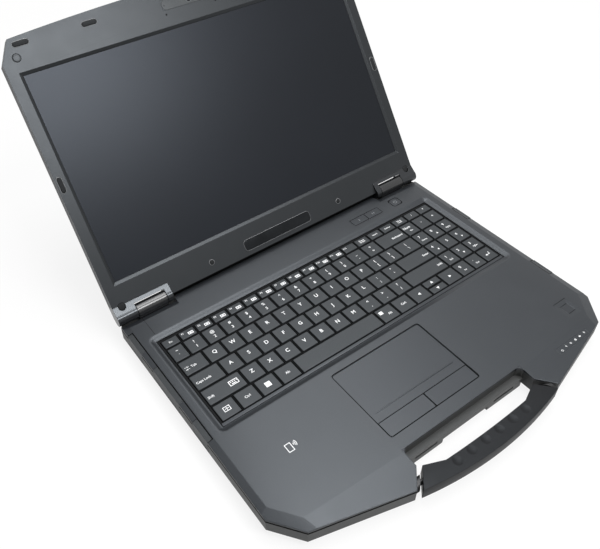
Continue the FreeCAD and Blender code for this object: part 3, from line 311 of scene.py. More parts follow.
def deckFinish(name):
    # the deck falls away a little towards its left and right edges
    crown = {"from": 140 * mm, "curve": 1.5, "rounding": 1.2 * mm}
    material = mouldedFinish(name, crown["rounding"])
    tree = material.node_tree
    relief = bumpInputs(tree)
    away = mathNode(tree, "SUBTRACT", mathNode(tree, "ABSOLUTE", axes(tree)["X"]), crown["from"])
    away = mathNode(tree, "MAXIMUM", away, 0.0)
    fall = mathNode(tree, "MULTIPLY", mathNode(tree, "MULTIPLY", away, away), crown["curve"])
    grain = mathNode(tree, "MULTIPLY", source(relief["Height"]), relief["Distance"].default_value)
    feed(tree, relief["Height"], mathNode(tree, "SUBTRACT", grain, fall))
    relief["Distance"].default_value = 1.0
    return material


def knuckleFinish(name):
    # polished where the lid wraps its hinge line
    polish = {
        "from": 127 * mm, "reach": 12.5 * mm, "fade": 0.5 * mm,
        "rough": 0.20, "colour": (0.016, 0.0165, 0.0175),
    }
    material = mouldedFinish(name)
    tree = material.node_tree
    shader = tree.nodes["Principled BSDF"].inputs
    across = vectorNode(tree, "SUBTRACT", objectPlace(tree), hinge["pos_m"])[0]
    away = vectorNode(tree, "LENGTH", vectorNode(tree, "MULTIPLY", across, (0, 1, 1))[0])["Value"]
    aside = mathNode(tree, "ABSOLUTE", axes(tree)["X"])
    side = spread(tree, aside, 0.0, 1.0, polish["from"], polish["from"] + polish["fade"])
    near = spread(tree, away, 1.0, 0.0, polish["reach"], polish["reach"] + polish["fade"])
    near = mathNode(tree, "MULTIPLY", near, side)
    feed(tree, bumpInputs(tree)["Strength"], mathNode(tree, "SUBTRACT", 1.0, near))
    feed(tree, shader["Base Color"], blendColour(tree, near, source(shader["Base Color"]), polish["colour"]))
    smooth = addNode(tree, "ShaderNodeMix", {0: near, 2: source(shader["Roughness"]), 3: polish["rough"]})
    feed(tree, shader["Roughness"], smooth.outputs[0])
    return material


def keyFinish(name):
    # the caps are black below their rounded tops: painted shade, as deep gaps look
    skirtShade = {"from": 21.2 * mm, "to": 21.5 * mm, "colour": (0.003, 0.003, 0.003)}
    material = mouldedFinish(name)
    tree = material.node_tree
    colour = tree.nodes["Principled BSDF"].inputs["Base Color"]
    top = spread(tree, axes(tree)["Z"], 0.0, 1.0, skirtShade["from"], skirtShade["to"])
    feed(tree, colour, blendColour(tree, top, skirtShade["colour"], source(colour)))
    return material


coats = {
    # kind: shades of the colour, noise (scale per metre, detail) of the colour, of the roughness and of
    # the relief, change of the roughness, depth of the relief and rounding of the edges in mm
    "ink": ((0.88, 1.0), (1500, 2), (1500, 2), None, 0.05, 0, 0),
    "window": ((0.7, 1.4), (90, 3), (700, 2), (300, 2), 0.05, 0.004, 0.3),
    "gloss": ((0.85, 1.2), (40, 3), (2400, 2), (2400, 2), 0.02, 0.004, 0.6),
    "film": ((0.8, 1.2), (9, 2), (4200, 1), (4200, 1), 0.03, 0.006, 0),  # anti-glare sparkle
}
coated = {
    # name: kind, colour, roughness, specular, sheen
    "whiteInk": ("ink", (0.86, 0.87, 0.88), 0.5, 0.5, None),
    "greyInk": ("ink", (0.22, 0.23, 0.24), 0.5, 0.5, None),
    # a light grey: on the rims round the lid's pockets it is a painted highlight on their bevels; it also rings
    # the webcam lens
    "bezelLip": ("ink", (0.16, 0.165, 0.17), 0.4, 0.5, None),
    "blackGap": ("ink", (0.004, 0.004, 0.004), 0.9, 0.05, None),
    "darkWindow": ("window", (0.0055, 0.006, 0.0066), 0.17, 0.17, "plastic"),
    "clearWindow": ("window", (0.013, 0.013, 0.012), 0.35, 0.42, "plastic"),
    "hingeGloss": ("gloss", (0.014, 0.0145, 0.0155), 0.22, 0.5, None),
    "matteScreen": ("film", (0.0030, 0.0033, 0.0045), 0.33, 0.25, "screen"),
}
polishCoat = {"Coat Weight": 0.25, "Coat Roughness": 0.15}


def coatedFinish(name):
    kind, colour, rough, specular, sheen = coated[name]
    limits, clouds, patches, relief, uneven, depth, rounding = coats[kind]
    material, tree, shader, place = begin(name, specular, sheen)
    feed(tree, shader["Base Color"], shades(tree, noise(tree, place, *clouds), colour, *limits))
    vary(tree, shader, noise(tree, place, *patches), rough, uneven)
    if relief:
        normal = roundedNormal(tree, rounding * mm) if rounding else None
        bump(tree, shader, noise(tree, place, *relief), depth * mm, normal)
    if kind == "gloss":
        for label, value in polishCoat.items():
            shader[label].default_value = value
    return material


def boardFinish(name):
    # dark green lacquer with copper tracks showing through it
    lacquer = {
        "colour": (0.008, 0.040, 0.020), "track": (0.030, 0.085, 0.040), "pitch": 380,
        "trackEdge": (0.3, 0.36), "patches": 400, "rough": 0.36, "uneven": 0.06, "depth": 0.03 * mm,
    }
    material, tree, shader, place = begin(name)
    pattern = {"Vector": place, "Scale": lacquer["pitch"]}
    cells = addNode(tree, "ShaderNodeTexVoronoi", pattern, distance="MANHATTAN", feature="F1")
    tracks = spread(tree, cells.outputs["Distance"], 1.0, 0.0, *lacquer["trackEdge"])
    feed(tree, shader["Base Color"], blendColour(tree, tracks, lacquer["colour"], lacquer["track"]))
    vary(tree, shader, noise(tree, place, lacquer["patches"]), lacquer["rough"], lacquer["uneven"])
    bump(tree, shader, tracks, lacquer["depth"])
    return material


metals = {
    # name: colour, roughness, stretch of the brushed lines, lines per metre
    "brushedSteel": ((0.52, 0.52, 0.53), 0.32, (1, 6, 1), 900),
    "blackSteel": ((0.045, 0.045, 0.046), 0.45, (1, 6, 1), 900),
    "portSteel": ((0.60, 0.60, 0.61), 0.28, (6, 1, 1), 600),
    "spreaderMetal": ((0.62, 0.36, 0.24), 0.30, (1, 8, 1), 900),
    "cellSteel": ((0.62, 0.62, 0.60), 0.25, (1, 1, 1), 900),
    "aerialFoil": ((0.70, 0.55, 0.30), 0.35, (1, 1, 1), 500),
}
brush = {"detail": 3, "shades": (0.8, 1.1), "uneven": 0.08, "depth": 0.01 * mm, "rounding": 0.2 * mm}


def metalFinish(name):
    colour, rough, stretch, grain = metals[name]
    material, tree, shader, place = begin(name)
    stretched = addNode(tree, "ShaderNodeMapping", {"Vector": place, "Scale": stretch}).outputs[0]
    lines = noise(tree, stretched, grain, brush["detail"])
    feed(tree, shader["Base Color"], shades(tree, lines, colour, *brush["shades"]))
    shader["Metallic"].default_value = 1
    vary(tree, shader, lines, rough, brush["uneven"])
    bump(tree, shader, lines, brush["depth"], roundedNormal(tree, brush["rounding"]))
    return material


finishMakers = {
    **dict.fromkeys(mouldings, mouldedFinish),
    **dict.fromkeys(coated, coatedFinish),
    **dict.fromkeys(metals, metalFinish),
    "keyPlastic": keyFinish,
    "deckPlastic": deckFinish,
    "bezelPlastic": knuckleFinish,
    "lidPlastic": knuckleFinish,
    "boardLacquer": boardFinish,
}
looks = {name: make(name) for name, make in finishMakers.items()}

slotLook = {
    # slots whose finish isn't named after them
    "screen": "matteScreen",
    "handle_grip": "gripRubber",
    "steel": "brushedSteel",
    "soft_rubber": "padRubber",
    "board": "boardLacquer",
    "battery_shell": "boxPlastic",
    "speaker_shell": "boxPlastic",
}
nodeLook = {
    "handle_pins": "blackSteel",
    "status_lights": "deckPlastic",
    "fingerprint_reader": "readerPlastic",
    "webcam": "bezelPlastic",
}


def lookFor(node):
    slot = slotOf[node]
    first, *rest = slot.split("_")
    sameName = first + "".join(word.title() for word in rest)
    return looks[nodeLook.get(node, slotLook.get(slot, sameName))]


for node, thing in nodes.items():
    thing.data.materials.clear()
    thing.data.materials.append(lookFor(node))
print("finishes: %d" % len(looks))


# shared mesh work, in mm
angles = {"smooth": 40, "sharp": 25, "handle": 18, "screws": 35, "ribs": 60}  # between faces, degrees


def asPiece(name, mesh, body, look, replaces=()):
    piece = addObject(name, mesh)
    mesh.materials.clear()
    mesh.materials.append(look)
    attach(piece, body)
    if replaces:
        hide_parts(*replaces)


def asMesh(name, shape):
    mesh = bpy.data.meshes.new(name)
    shape.to_mesh(mesh)
    shape.free()
    return mesh


def cleanCopy(node):
    # the CAD mesh is loose triangles: join them and leave one face for each flat
    weld = {"reach": 0.002 * mm, "flat": math.radians(0.3)}
    shape = bmesh.new()
    shape.from_mesh(nodes[node].data)
    bmesh.ops.remove_doubles(shape, verts=shape.verts, dist=weld["reach"])
    bmesh.ops.dissolve_limit(
        shape, angle_limit=weld["flat"], verts=shape.verts, edges=shape.edges, use_dissolve_boundaries=False
    )
    return shape


def smoothByAngle(mesh, degrees):
    shape = bmesh.new()
    shape.from_mesh(mesh)
    for face in shape.faces:
        face.smooth = True
    for edge in shape.edges:
        edge.smooth = len(edge.link_faces) == 2 and edge.calc_face_angle(0) < math.radians(degrees)
    shape.to_mesh(mesh)
    shape.free()


def finishShape(name, shape, body, look, turn=None, replaces=(), flat=False):
    if turn:
        shape.transform(turn)
    if flat:  # a mark without thickness looks up
        shape.normal_update()
        bmesh.ops.reverse_faces(shape, faces=[face for face in shape.faces if face.normal.z < 0])
    else:
        bmesh.ops.recalc_face_normals(shape, faces=shape.faces)
    mesh = asMesh(name, shape)
    smoothByAngle(mesh, angles["smooth"])
    asPiece(name, mesh, body, looks[look], replaces)


def islands(node, turn=None):
    # corner boxes of the separate solids in a node: x0, y0, z0, x1, y1, z1
    shape = cleanCopy(node)
    if turn:
        shape.transform(turn)
    waiting = set(shape.verts)
    boxes = []
    while waiting:
        group = [waiting.pop()]
        for vert in group:
            for edge in vert.link_edges:
                other = edge.other_vert(vert)
                if other in waiting:
                    waiting.remove(other)
                    group.append(other)
        sides = [[vert.co[axis] / mm for vert in group] for axis in range(3)]
        boxes.append(tuple(min(side) for side in sides) + tuple(max(side) for side in sides))
    shape.free()
    return sorted(boxes)


def rectangle(x0, y0, x1, y1):
    return [(x0, y0), (x1, y0), (x1, y1), (x0, y1)]


def sweep(start, end, steps):
    # cosine and sine at even steps between two angles
    turns = [math.radians(start + (end - start) * step / steps) for step in range(steps + 1)]
    return [(math.cos(turn), math.sin(turn)) for turn in turns]


def roundRect(x0, y0, x1, y1, radius, steps=6):
    # anticlockwise, from the upper right corner on
    points = []
    for corner, (cx, cy) in enumerate(rectangle(x1 - radius, y1 - radius, x0 + radius, y0 + radius)):
        start = 90 * corner
        points += [(cx + radius * c, cy + radius * s) for c, s in sweep(start, start + 90, steps)]
    return points


def roundEnded(x0, y0, x1, y1, across, steps=6):
    # nearly half circles: a short straight is left between the corners
    straight = 0.02
    return roundRect(x0, y0, x1, y1, across / 2 - straight, steps)


def disc(x, y, radius, steps=6):
    return roundEnded(x - radius, y - radius, x + radius, y + radius, 2 * radius, steps)


def shrink(points, by):
    # moves a round outline inwards along its corner lines
    count = len(points)
    moved = []
    for i, (x, y) in enumerate(points):
        px, py = points[i - 1]
        nx, ny = points[(i + 1) % count]
        dx, dy = nx - px, ny - py
        size = math.hypot(dx, dy)
        moved.append((x - dy / size * by, y + dx / size * by))
    return moved


def atLevel(outline, z):
    return [(x, y, z) for x, y in outline]


def loft(shape, rings, closed=True):
    # rings of (x, y, z), from the lowest to the highest
    loops = [[shape.verts.new((x * mm, y * mm, z * mm)) for x, y, z in ring] for ring in rings]
    count = len(loops[0])
    for low, high in zip(loops, loops[1:]):
        for i in range(count):
            shape.faces.new((low[i], low[(i + 1) % count], high[(i + 1) % count], high[i]))
    if closed:
        shape.faces.new(list(reversed(loops[0])))
        shape.faces.new(loops[-1])


def domed(shape, outline, low, high, edge, rise=0.0):
    # a button or plate: straight wall, rounded edge, slightly crowned top
    rings = [atLevel(outline, low)]
    for c, s in sweep(0, 90, 3):
        inset = edge * (1 - c)
        rings.append(atLevel(shrink(outline, inset) if inset else outline, high - edge + edge * s))
    if rise:
        middleX = sum(x for x, y in outline) / len(outline)
        middleY = sum(y for x, y in outline) / len(outline)
        last = shrink(outline, edge)
        for share in (0.35, 0.7):
            inner = [(x + (middleX - x) * share, y + (middleY - y) * share) for x, y in last]
            rings.append(atLevel(inner, high + rise * (1 - (1 - share) ** 2)))
    loft(shape, rings)


def rimRing(shape, outline, width, level, height):
    # a raised lip round a pocket, let in a little below its face
    sunk = level - 0.2
    outer = shrink(outline, -width)
    crest = shrink(outline, -width / 2)
    rings = [(outer, sunk), (outer, level), (crest, level + height), (outline, sunk)]
    loft(shape, [atLevel(*ring) for ring in rings], False)


def hollowBox(width, height, line):
    w, h = width / 2, height / 2
    return [
        rectangle(-w, -h, w, -h + line),
        rectangle(-w, h - line, w, h),
        rectangle(-w, -h + line, -w + line, h - line),
        rectangle(w - line, -h + line, w, h - line),
    ]


def arc(radius, line, start, end, steps=10):
    turns = sweep(start, end, steps)
    reaches = (radius + line / 2, radius - line / 2)
    outer, inner = ([(reach * c, reach * s) for c, s in turns] for reach in reaches)
    return [[outer[i], outer[i + 1], inner[i + 1], inner[i]] for i in range(steps)]


def flatShape(outlines):
    # each outline is one face
    mesh = bpy.data.meshes.new("mark")
    points = []
    faces = []
    for outline in outlines:
        faces.append(tuple(range(len(points), len(points) + len(outline))))
        points += atLevel(outline, 0)
    mesh.from_pydata(points, [], faces)
    return mesh


def addFlat(shape, mesh, x, y, z):
    # puts a flat shape at its place
    mesh.transform(Matrix.Translation((x * mm, y * mm, z * mm)) @ Matrix.Scale(mm, 4))
    shape.from_mesh(mesh)
    bpy.data.meshes.remove(mesh)


def flatMark(name, body, look, parts, turn=None):
    # parts: outlines and the place of their middle
    shape = bmesh.new()
    for outlines, x, y, z in parts:
        addFlat(shape, flatShape(outlines), x, y, z)
    finishShape(name, shape, body, look, turn, flat=True)


# pieces with rounded edges in place of the sharp CAD ones
softEdges = {
    # start of the nodes' names: (rounding in mm, segments)
    "carry_handle": (1.6, 3),
    "touchpad_button": (0.3, 2),
    "power_button": (0.3, 2),
    "function_button": (0.3, 2),
    "left_port_door": (0.4, 2),
    "right_port_door": (0.4, 2),
    ("key_", "keys_"): (0.45, 2),
}
softNodes = [(node, size) for start, size in softEdges.items() for node in nodes if node.startswith(start)]


def softened(node, width, segments):
    shape = cleanCopy(node)
    sharp = [
        edge
        for edge in shape.edges
        if len(edge.link_faces) == 2 and edge.calc_face_angle(0) > math.radians(angles["sharp"])
    ]
    rounded = bmesh.ops.bevel(
        shape, geom=sharp, offset=width * mm, offset_type="OFFSET", segments=segments, profile=0.5,
        affect="EDGES", clamp_overlap=True,
    )
    for face in rounded["faces"]:
        face.smooth = True
    mesh = asMesh(node + "_soft", shape)
    if node == "carry_handle":  # its long faces are curved
        smoothByAngle(mesh, angles["handle"])
    asPiece(node + "_soft", mesh, bodyOf[node], lookFor(node), (node,))


for node, (width, segments) in softNodes:
    softened(node, width, segments)
print("rounded pieces: %d" % len(softNodes))


# key legends
legend = {
    "lift": 0.02,  # above the cap, mm
    "big": 5.4,  # letter size, mm
    "digit": 4.4,
    "word": 3.4,
    "small": 2.7,
    "lineSpace": 0.82,
    "weight": 0.012,  # strokes are thickened by this share of the size
    "margin": 2.4,  # of the words at the end of a long cap
    "stack": (3.1, -2.9),  # heights of two signs on one cap
}
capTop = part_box("key_space")[1].z / mm
arrowTurn = {"right": 0, "up": 90, "left": 180, "down": 270}


def arrow(toward, size):
    # a filled triangle
    turn = math.radians(arrowTurn[toward])
    c, s = math.cos(turn), math.sin(turn)
    corners = [(size * 0.5, 0), (-size * 0.4, size * 0.5), (-size * 0.4, -size * 0.5)]
    return [(x * c - y * s, x * s + y * c) for x, y in corners]


glyphs = {
    # outlines round their own middle
    "panel": hollowBox(5.2, 3.2, 0.75) + [rectangle(-1.1, -0.5, 1.1, 0.5)],
    "enterTail": [rectangle(-1.5, -1.3, 2.5, -0.7), rectangle(1.9, -0.7, 2.5, 2)],
    "boxedCross": [
        *hollowBox(6.4, 5.0, 0.6),
        rectangle(-1.9, -0.2, 1.9, 0.4),
        rectangle(-0.3, -1.6, 0.3, 1.6),
    ],
    "square": [rectangle(-2.7, -2.5, 2.7, 2.5)],
    "smallSquare": [rectangle(-2.0, -1.8, 2.0, 1.8)],
    "tabLeft": [arrow("left", 1.8), rectangle(-2, -0.2, 2, 0.2)],
    "tabRight": [arrow("right", 1.8), rectangle(-2, -0.2, 2, 0.2)],
    "keypad": [
        *hollowBox(9, 5.4, 0.7),
        *(rectangle(-3 + 2 * n, 0.5, -1.8 + 2 * n, 1.4) for n in range(4)),
        rectangle(-2.2, -1.5, 2.2, -0.6),
    ],
}


def textShape(words, size, align):
    # a word as flat faces around its own middle, in mm
    curve = bpy.data.curves.new("legend", "FONT")
    curve.body = words
    curve.size = size
    curve.align_x = align
    curve.align_y = "CENTER"
    curve.space_line = legend["lineSpace"]
    curve.resolution_u = 3
    curve.offset = legend["weight"] * size
    holder = bpy.data.objects.new("legend", curve)
    mesh = bpy.data.meshes.new_from_object(holder)
    bpy.data.objects.remove(holder)
    bpy.data.curves.remove(curve)
    return mesh


# a mark is a list of flat shapes, each with the part of the cap it starts from and its shift
def written(words, size, dx=0.0, dy=0.0, start="CENTER", align="CENTER"):
    return textShape(words, legend[size], align), start, dx, dy


def drawn(outlines, dx=0.0, dy=0.0, start="CENTER"):
    return flatShape(outlines), start, dx, dy


def keyBoxes(node):
    # x0, y0, x1, y1 of each cap in a node, in reading order
    caps = [(box[0], box[1], box[3], box[4]) for box in islands(node)]
    return sorted(caps, key=lambda cap: (-round(cap[3] / 6), cap[0]))


def markKeys(node, marks):
    shape = bmesh.new()
    for (x0, y0, x1, y1), mark in zip(keyBoxes(node), marks):
        starts = {"CENTER": (x0 + x1) / 2, "LEFT": x0, "RIGHT": x1}
        for mesh, start, dx, dy in mark:
            addFlat(shape, mesh, starts[start] + dx, (y0 + y1) / 2 + dy, capTop + legend["lift"])
    name = node + "_legends"
    asPiece(name, asMesh(name, shape), bodyOf[node], looks["whiteInk"])


def stacked(pair):
    return [written(sign, "digit", 0, dy) for sign, dy in zip(pair, legend["stack"])]


def functionMark(label):
    if not label[1:].isdigit():
        return [written(label, "small" if len(label) > 1 else "word")]
    parts = [written(label, "small", 3.6, 1.5, "LEFT")]
    if label != "F12":
        parts.append(drawn(glyphs["panel"], -5.2, -0.9, "RIGHT"))
    return parts


def letterMark(mark):
    return stacked(mark) if isinstance(mark, tuple) else [written(mark, "big", 0, 0.8)]


def padMark(mark):
    if mark == "enter":
        return [drawn([arrow("left", 2.6)], -2, -1), drawn(glyphs["enterTail"])]
    if isinstance(mark, str):
        return [written(mark, "digit", 0, 1)]
    upper, lower = mark
    below = drawn([arrow(lower, 2.4)], 1, -3) if lower in arrowTurn else written(lower, "small", 0, -3)
    return [written(upper, "digit", -2, 2.6), below]


def endMark(words, side, shift=0.0):
    margin = legend["margin"] if side == "LEFT" else -legend["margin"]
    return written(words, "word", margin + shift, -1.2, side, side)


functionMarks = ["Esc", *("F%d" % n for n in range(1, 13))]
functionMarks += ["Pause\nBreak", "Insert", "Delete", "Num\nLock", "/", "*"]
padMarks = [
    ("Num", "Prt"), "-", "+",
    ("7", "Home"), ("8", "up"), ("9", "PgUp"),
    ("4", "left"), "5", ("6", "right"),
    ("1", "End"), ("2", "down"), ("3", "PgDn"),
    ("0", "Ins"), (".", "Del"), "enter",
]
letterRows = {
    "keys_upper_letters": [*"QWERTYUIOP", ("{", "["), ("}", "]"), ("|", "\\")],
    "keys_home_letters": [*"ASDFGHJKL", (":", ";"), ("\"", "'")],
    "keys_lower_letters": [*"ZXCVBNM", ("<", ","), (">", "."), ("?", "/")],
}
keyMarks = {
    "keys_function_row": [functionMark(label) for label in functionMarks],
    "keys_number_row": [stacked(pair) for pair in zip("~!@#$%^&*()_+", "`1234567890-=")],
    **{node: [letterMark(mark) for mark in marks] for node, marks in letterRows.items()},
    "keys_number_pad": [padMark(mark) for mark in padMarks],
    "keys_modifiers": [
        [drawn(glyphs["boxedCross"])],
        [written("Ctrl", "word")],
        [drawn(glyphs["square"])],
        [written("Alt", "word")],
        [drawn(glyphs["smallSquare"], -5.0, 3.2), written("Alt", "word", 2.4, -1.4)],
        [written("Ctrl", "word")],
    ],
    "key_backspace": [[endMark("Backspace", "RIGHT")]],
    "key_tab": [[
        endMark("Tab", "LEFT", 6.0),
        drawn(glyphs["tabLeft"], 4.6, 0.2, "LEFT"),
        drawn(glyphs["tabRight"], 4.6, -2.4, "LEFT"),
    ]],
    "key_caps_lock": [[endMark("Caps Lock", "LEFT")]],
    "key_enter": [[endMark("Enter", "RIGHT")]],
    "key_shift_left": [[endMark("Shift", "LEFT"), drawn(glyphs["keypad"], -9, 0.5, "RIGHT")]],
    "key_shift_right": [[endMark("Shift", "RIGHT")]],
    **{"key_arrow_" + toward: [[drawn([arrow(toward, 3.2)])]] for toward in ("left", "up", "down", "right")},
}
for node, marks in keyMarks.items():
    markKeys(node, marks)
print("key legends: %d" % len(keyMarks))


# fittings on the lid, drawn flat on the lid and turned up with it
lidBits = {
    "face": 3.0,  # bezel face above the hinge line
    "plate": (-40.5, 4.8, 40.5, 15.3, 3.2),  # outline, corner radius
    "plateBack": 0.8,
    "plateStand": 0.05,
    "plateEdge": 0.3,
    "plateRim": (0.55, 0.25),  # width, height
    "pillEdge": (0.45, 0.12),  # rounding, rise of the crown
    "pillRim": (0.7, 0.2),
    "capStand": 0.15,
    "capEdge": (0.3, 0.15),
    "capRim": (0.35, 0.03),
    "capRimSink": 0.02,
    "topCapsFrom": 200,  # the caps further up are hard plastic, those by the hinges rubber
}


def onLid(name, shape, look, replaces=()):
    finishShape(name, shape, "lid", look, lidTurn, replaces)


def addRim(shape, outline, size, level):
    width, height = size
    rimRing(shape, outline, width, level, height)


def lidFittings():
    face = lidBits["face"]
    plate, rims, pills, caps, rubberCaps, rings = (bmesh.new() for _ in range(6))
    outline = roundRect(*lidBits["plate"])
    domed(plate, outline, face - lidBits["plateBack"], face + lidBits["plateStand"], lidBits["plateEdge"])
    addRim(rims, outline, lidBits["plateRim"], face)
    for x0, y0, z0, x1, y1, z1 in islands("lid_bumpers", lidFlat):
        outline = roundEnded(x0, y0, x1, y1, min(x1 - x0, y1 - y0))
        domed(pills, outline, z0, z1, *lidBits["pillEdge"])
        addRim(rims, outline, lidBits["pillRim"], face)
    for x0, y0, z0, x1, y1, z1 in islands("lid_screw_caps", lidFlat):
        outline = roundEnded(x0, y0, x1, y1, x1 - x0)
        target = caps if y0 > lidBits["topCapsFrom"] else rubberCaps
        domed(target, outline, z0, z1 + lidBits["capStand"], *lidBits["capEdge"])
        addRim(rings, outline, lidBits["capRim"], face - lidBits["capRimSink"])
    onLid("name_plate_bare", plate, "darkWindow", ("name_plate",))
    onLid("lid_bumpers_soft", pills, "padRubber", ("lid_bumpers",))
    # the pocket rims are light grey: a painted highlight on the bevels round the plate and bumpers
    onLid("lid_pocket_rims", rims, "bezelLip")
    onLid("lid_screw_caps_top", caps, "bezelPlastic", ("lid_screw_caps",))
    onLid("lid_screw_caps_hinge", rubberCaps, "padRubber")
    onLid("lid_cap_rings", rings, "blackGap")


lidRoll = {"half": 127.6, "radius": 7.4, "sweep": 34, "steps": 6, "top": -0.5}


def lidLowerRoll():
    # the lid's lower edge turns in round the hinge line, so no light comes through under it; its near-black colour
    # is painted shade in the gap under the lid
    profile = [(0, lidRoll["top"])]
    for c, s in sweep(0, lidRoll["sweep"], lidRoll["steps"]):
        profile.append((-lidRoll["radius"] * s, -lidRoll["radius"] * c))
    shape = bmesh.new()
    loft(shape, [[(x, y, z) for y, z in profile] for x in (-lidRoll["half"], lidRoll["half"])])
    onLid("lid_lower_roll", shape, "keyFramePlastic")


shelfRim = {
    # low wall on the case's rear corners beside the hinges: lines of its outer and inner face
    "outer": [(123.9, 143.0), (177.1, 143.0), (184.1, 131.0), (184.1, 130.1)],
    "inner": [(123.9, 141.4), (176.2, 141.4), (182.5, 130.6), (182.5, 130.1)],
    "foot": 17.9,
    "top": 20.8,
}


def shelfRims():
    shape = bmesh.new()
    for side in (-1, 1):
        outline = [(side * x, y) for x, y in shelfRim["outer"] + shelfRim["inner"][::-1]]
        loft(shape, [atLevel(outline, shelfRim["foot"]), atLevel(outline, shelfRim["top"])])
    finishShape("shelf_rims", shape, "base", "casePlastic")


lidFittings()
lidLowerRoll()
shelfRims()
print("lid fittings done")


# marks and small lines on the deck
deckBits = {
    "top": 24.2,
    "padTop": 23.5,
    "lightsTop": 23.7,
    "lift": 0.02,  # of a mark above its face
    "card": (-135.6, -60.1),  # contactless mark: a card and three waves
    "cardSize": (5.4, 7.8, 0.6),
    "waves": (-132.4, -59.1),
    "waveRadii": (1.2, 2.5, 3.8),
    "waveLine": (0.55, -42, 42),  # width, from and to degrees
    "power": (139.0, 114.6),
    "powerRing": (2.0, 0.45, 120, 420),
    "powerBar": (-0.22, 0.3, 0.22, 2.5),
    "functionBars": {"function_button_left": (0,), "function_button_right": (-1.1, 1.1)},
    "seamLine": (-163.66, 103.4, -163.34, 129.6),
    "seamLift": 0.01,
}
ridge = {
    "from": -61, "to": 27, "y": -75.9, "half": 0.5, "height": 0.22, "steps": 8,
    "tip": 0.02, "tipScale": 0.2,  # share of the length that is pinched, and how far
}


def deckMarks():
    top, lift = deckBits["top"], deckBits["lift"]
    parts = [(hollowBox(*deckBits["cardSize"]), *deckBits["card"], top + lift)]
    for radius in deckBits["waveRadii"]:
        parts.append((arc(radius, *deckBits["waveLine"]), *deckBits["waves"], top + lift))
    flatMark("contactless_mark", "base", "whiteInk", parts)
    outlines = arc(*deckBits["powerRing"]) + [rectangle(*deckBits["powerBar"])]
    parts = [(outlines, *deckBits["power"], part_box("power_button")[1].z / mm + lift)]
    flatMark("power_mark", "power_button", "greyInk", parts)
    for node, bars in deckBits["functionBars"].items():
        low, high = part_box(node)
        strokes = [rectangle(dx - 0.3, -1.2, dx + 0.3, 1.2) for dx in bars]
        parts = [(strokes, (low.x + high.x) / 2 / mm, (low.y + high.y) / 2 / mm, high.z / mm + lift)]
        flatMark(node + "_mark", node, "greyInk", parts)
    parts = [([rectangle(*deckBits["seamLine"])], 0, 0, top + deckBits["seamLift"])]
    flatMark("deck_seam_line", "base", "blackGap", parts)


def touchpadRidge():
    # a low rounded bar with pinched ends
    rings = []
    for share in (0.0, ridge["tip"], 1 - ridge["tip"], 1.0):
        x = ridge["from"] + (ridge["to"] - ridge["from"]) * share
        scale = ridge["tipScale"] if share in (0.0, 1.0) else 1.0
        half, height = ridge["half"] * scale, ridge["height"] * scale
        turns = sweep(0, 180, ridge["steps"])
        rings.append([(x, ridge["y"] + half * c, deckBits["padTop"] + height * s) for c, s in turns])
    shape = bmesh.new()
    loft(shape, rings)
    finishShape("touchpad_ridge", shape, "base", "touchpadPlastic")


gaps = {
    # dark joints round the pieces let into the deck: outline and corner radius, level, width
    "leftPadButton": ((-66.4, -99.7, -16.9, -84.1, 1.2), 23.56, 0.5),
    "rightPadButton": ((-16.7, -99.7, 32.9, -84.1, 1.2), 23.56, 0.5),
    "powerButton": ((132.4, 108.5, 145.6, 120.7, 2.9), 24.24, 0.8),
    "leftFunction": ((78.1, 109.4, 97.6, 119.8, 1.3), 24.24, 0.7),
    "rightFunction": ((97.4, 109.4, 116.9, 119.8, 1.3), 24.24, 0.7),
    "touchpadEdge": ((-67.2, -100.3, 33.7, -25.9, 3.2), 24.22, 0.7),
    "keyboardWell": ((-166.4, -13.2, 166.4, 97.2, 1.0), 21.3, 0.7),
}
readerLines = {
    # edge lines of the fingerprint reader and of the hollow round it: outline, level
    "front": ((150.9, -99.9, 160.1, -99.5), 23.74),
    "rear": ((150.9, -90.3, 160.1, -89.9), 23.74),
    "hollow": ((147.4, -85.4, 163.8, -84.9), 24.22),
}
doorJoint = {
    "inner": 178.8,
    "innerLevel": 24.06,
    "outer": 184.0,
    "outerLevel": 22.98,
    "width": 0.9,
    "endHalf": 0.3,
    "runs": {-1: [(-18.4, 117.4)], 1: [(-56.4, -33.6), (47.6, 69.4)]},  # side: front and rear ends
}


def doorJoints(shape):
    # the joints behind the port doors lie on the deck's sloping edge
    inner, outer, half = doorJoint["inner"], doorJoint["outer"], doorJoint["endHalf"]
    slope = (doorJoint["outerLevel"] - doorJoint["innerLevel"]) / (outer - inner)
    for side, runs in doorJoint["runs"].items():
        for front, rear in runs:
            strips = [rectangle(inner, front, inner + doorJoint["width"], rear)]
            strips += [rectangle(inner, y - half, outer, y + half) for y in (front, rear)]
            for corners in strips:
                points = [(side * x, y, doorJoint["innerLevel"] + (x - inner) * slope) for x, y in corners]
                shape.faces.new([shape.verts.new(Vector(point) * mm) for point in points[::side]])


def gapLines():
    shape = bmesh.new()
    doorJoints(shape)
    for outline, level, width in gaps.values():
        outer = roundRect(*outline, 4)
        inner = shrink(outer, width)
        ring = [[outer[i - 1], outer[i], inner[i], inner[i - 1]] for i in range(len(outer))]
        addFlat(shape, flatShape(ring), 0, 0, level)
    for outline, level in readerLines.values():
        addFlat(shape, flatShape([rectangle(*outline)]), 0, 0, level)
    finishShape("deck_joints", shape, "base", "blackGap", flat=True)


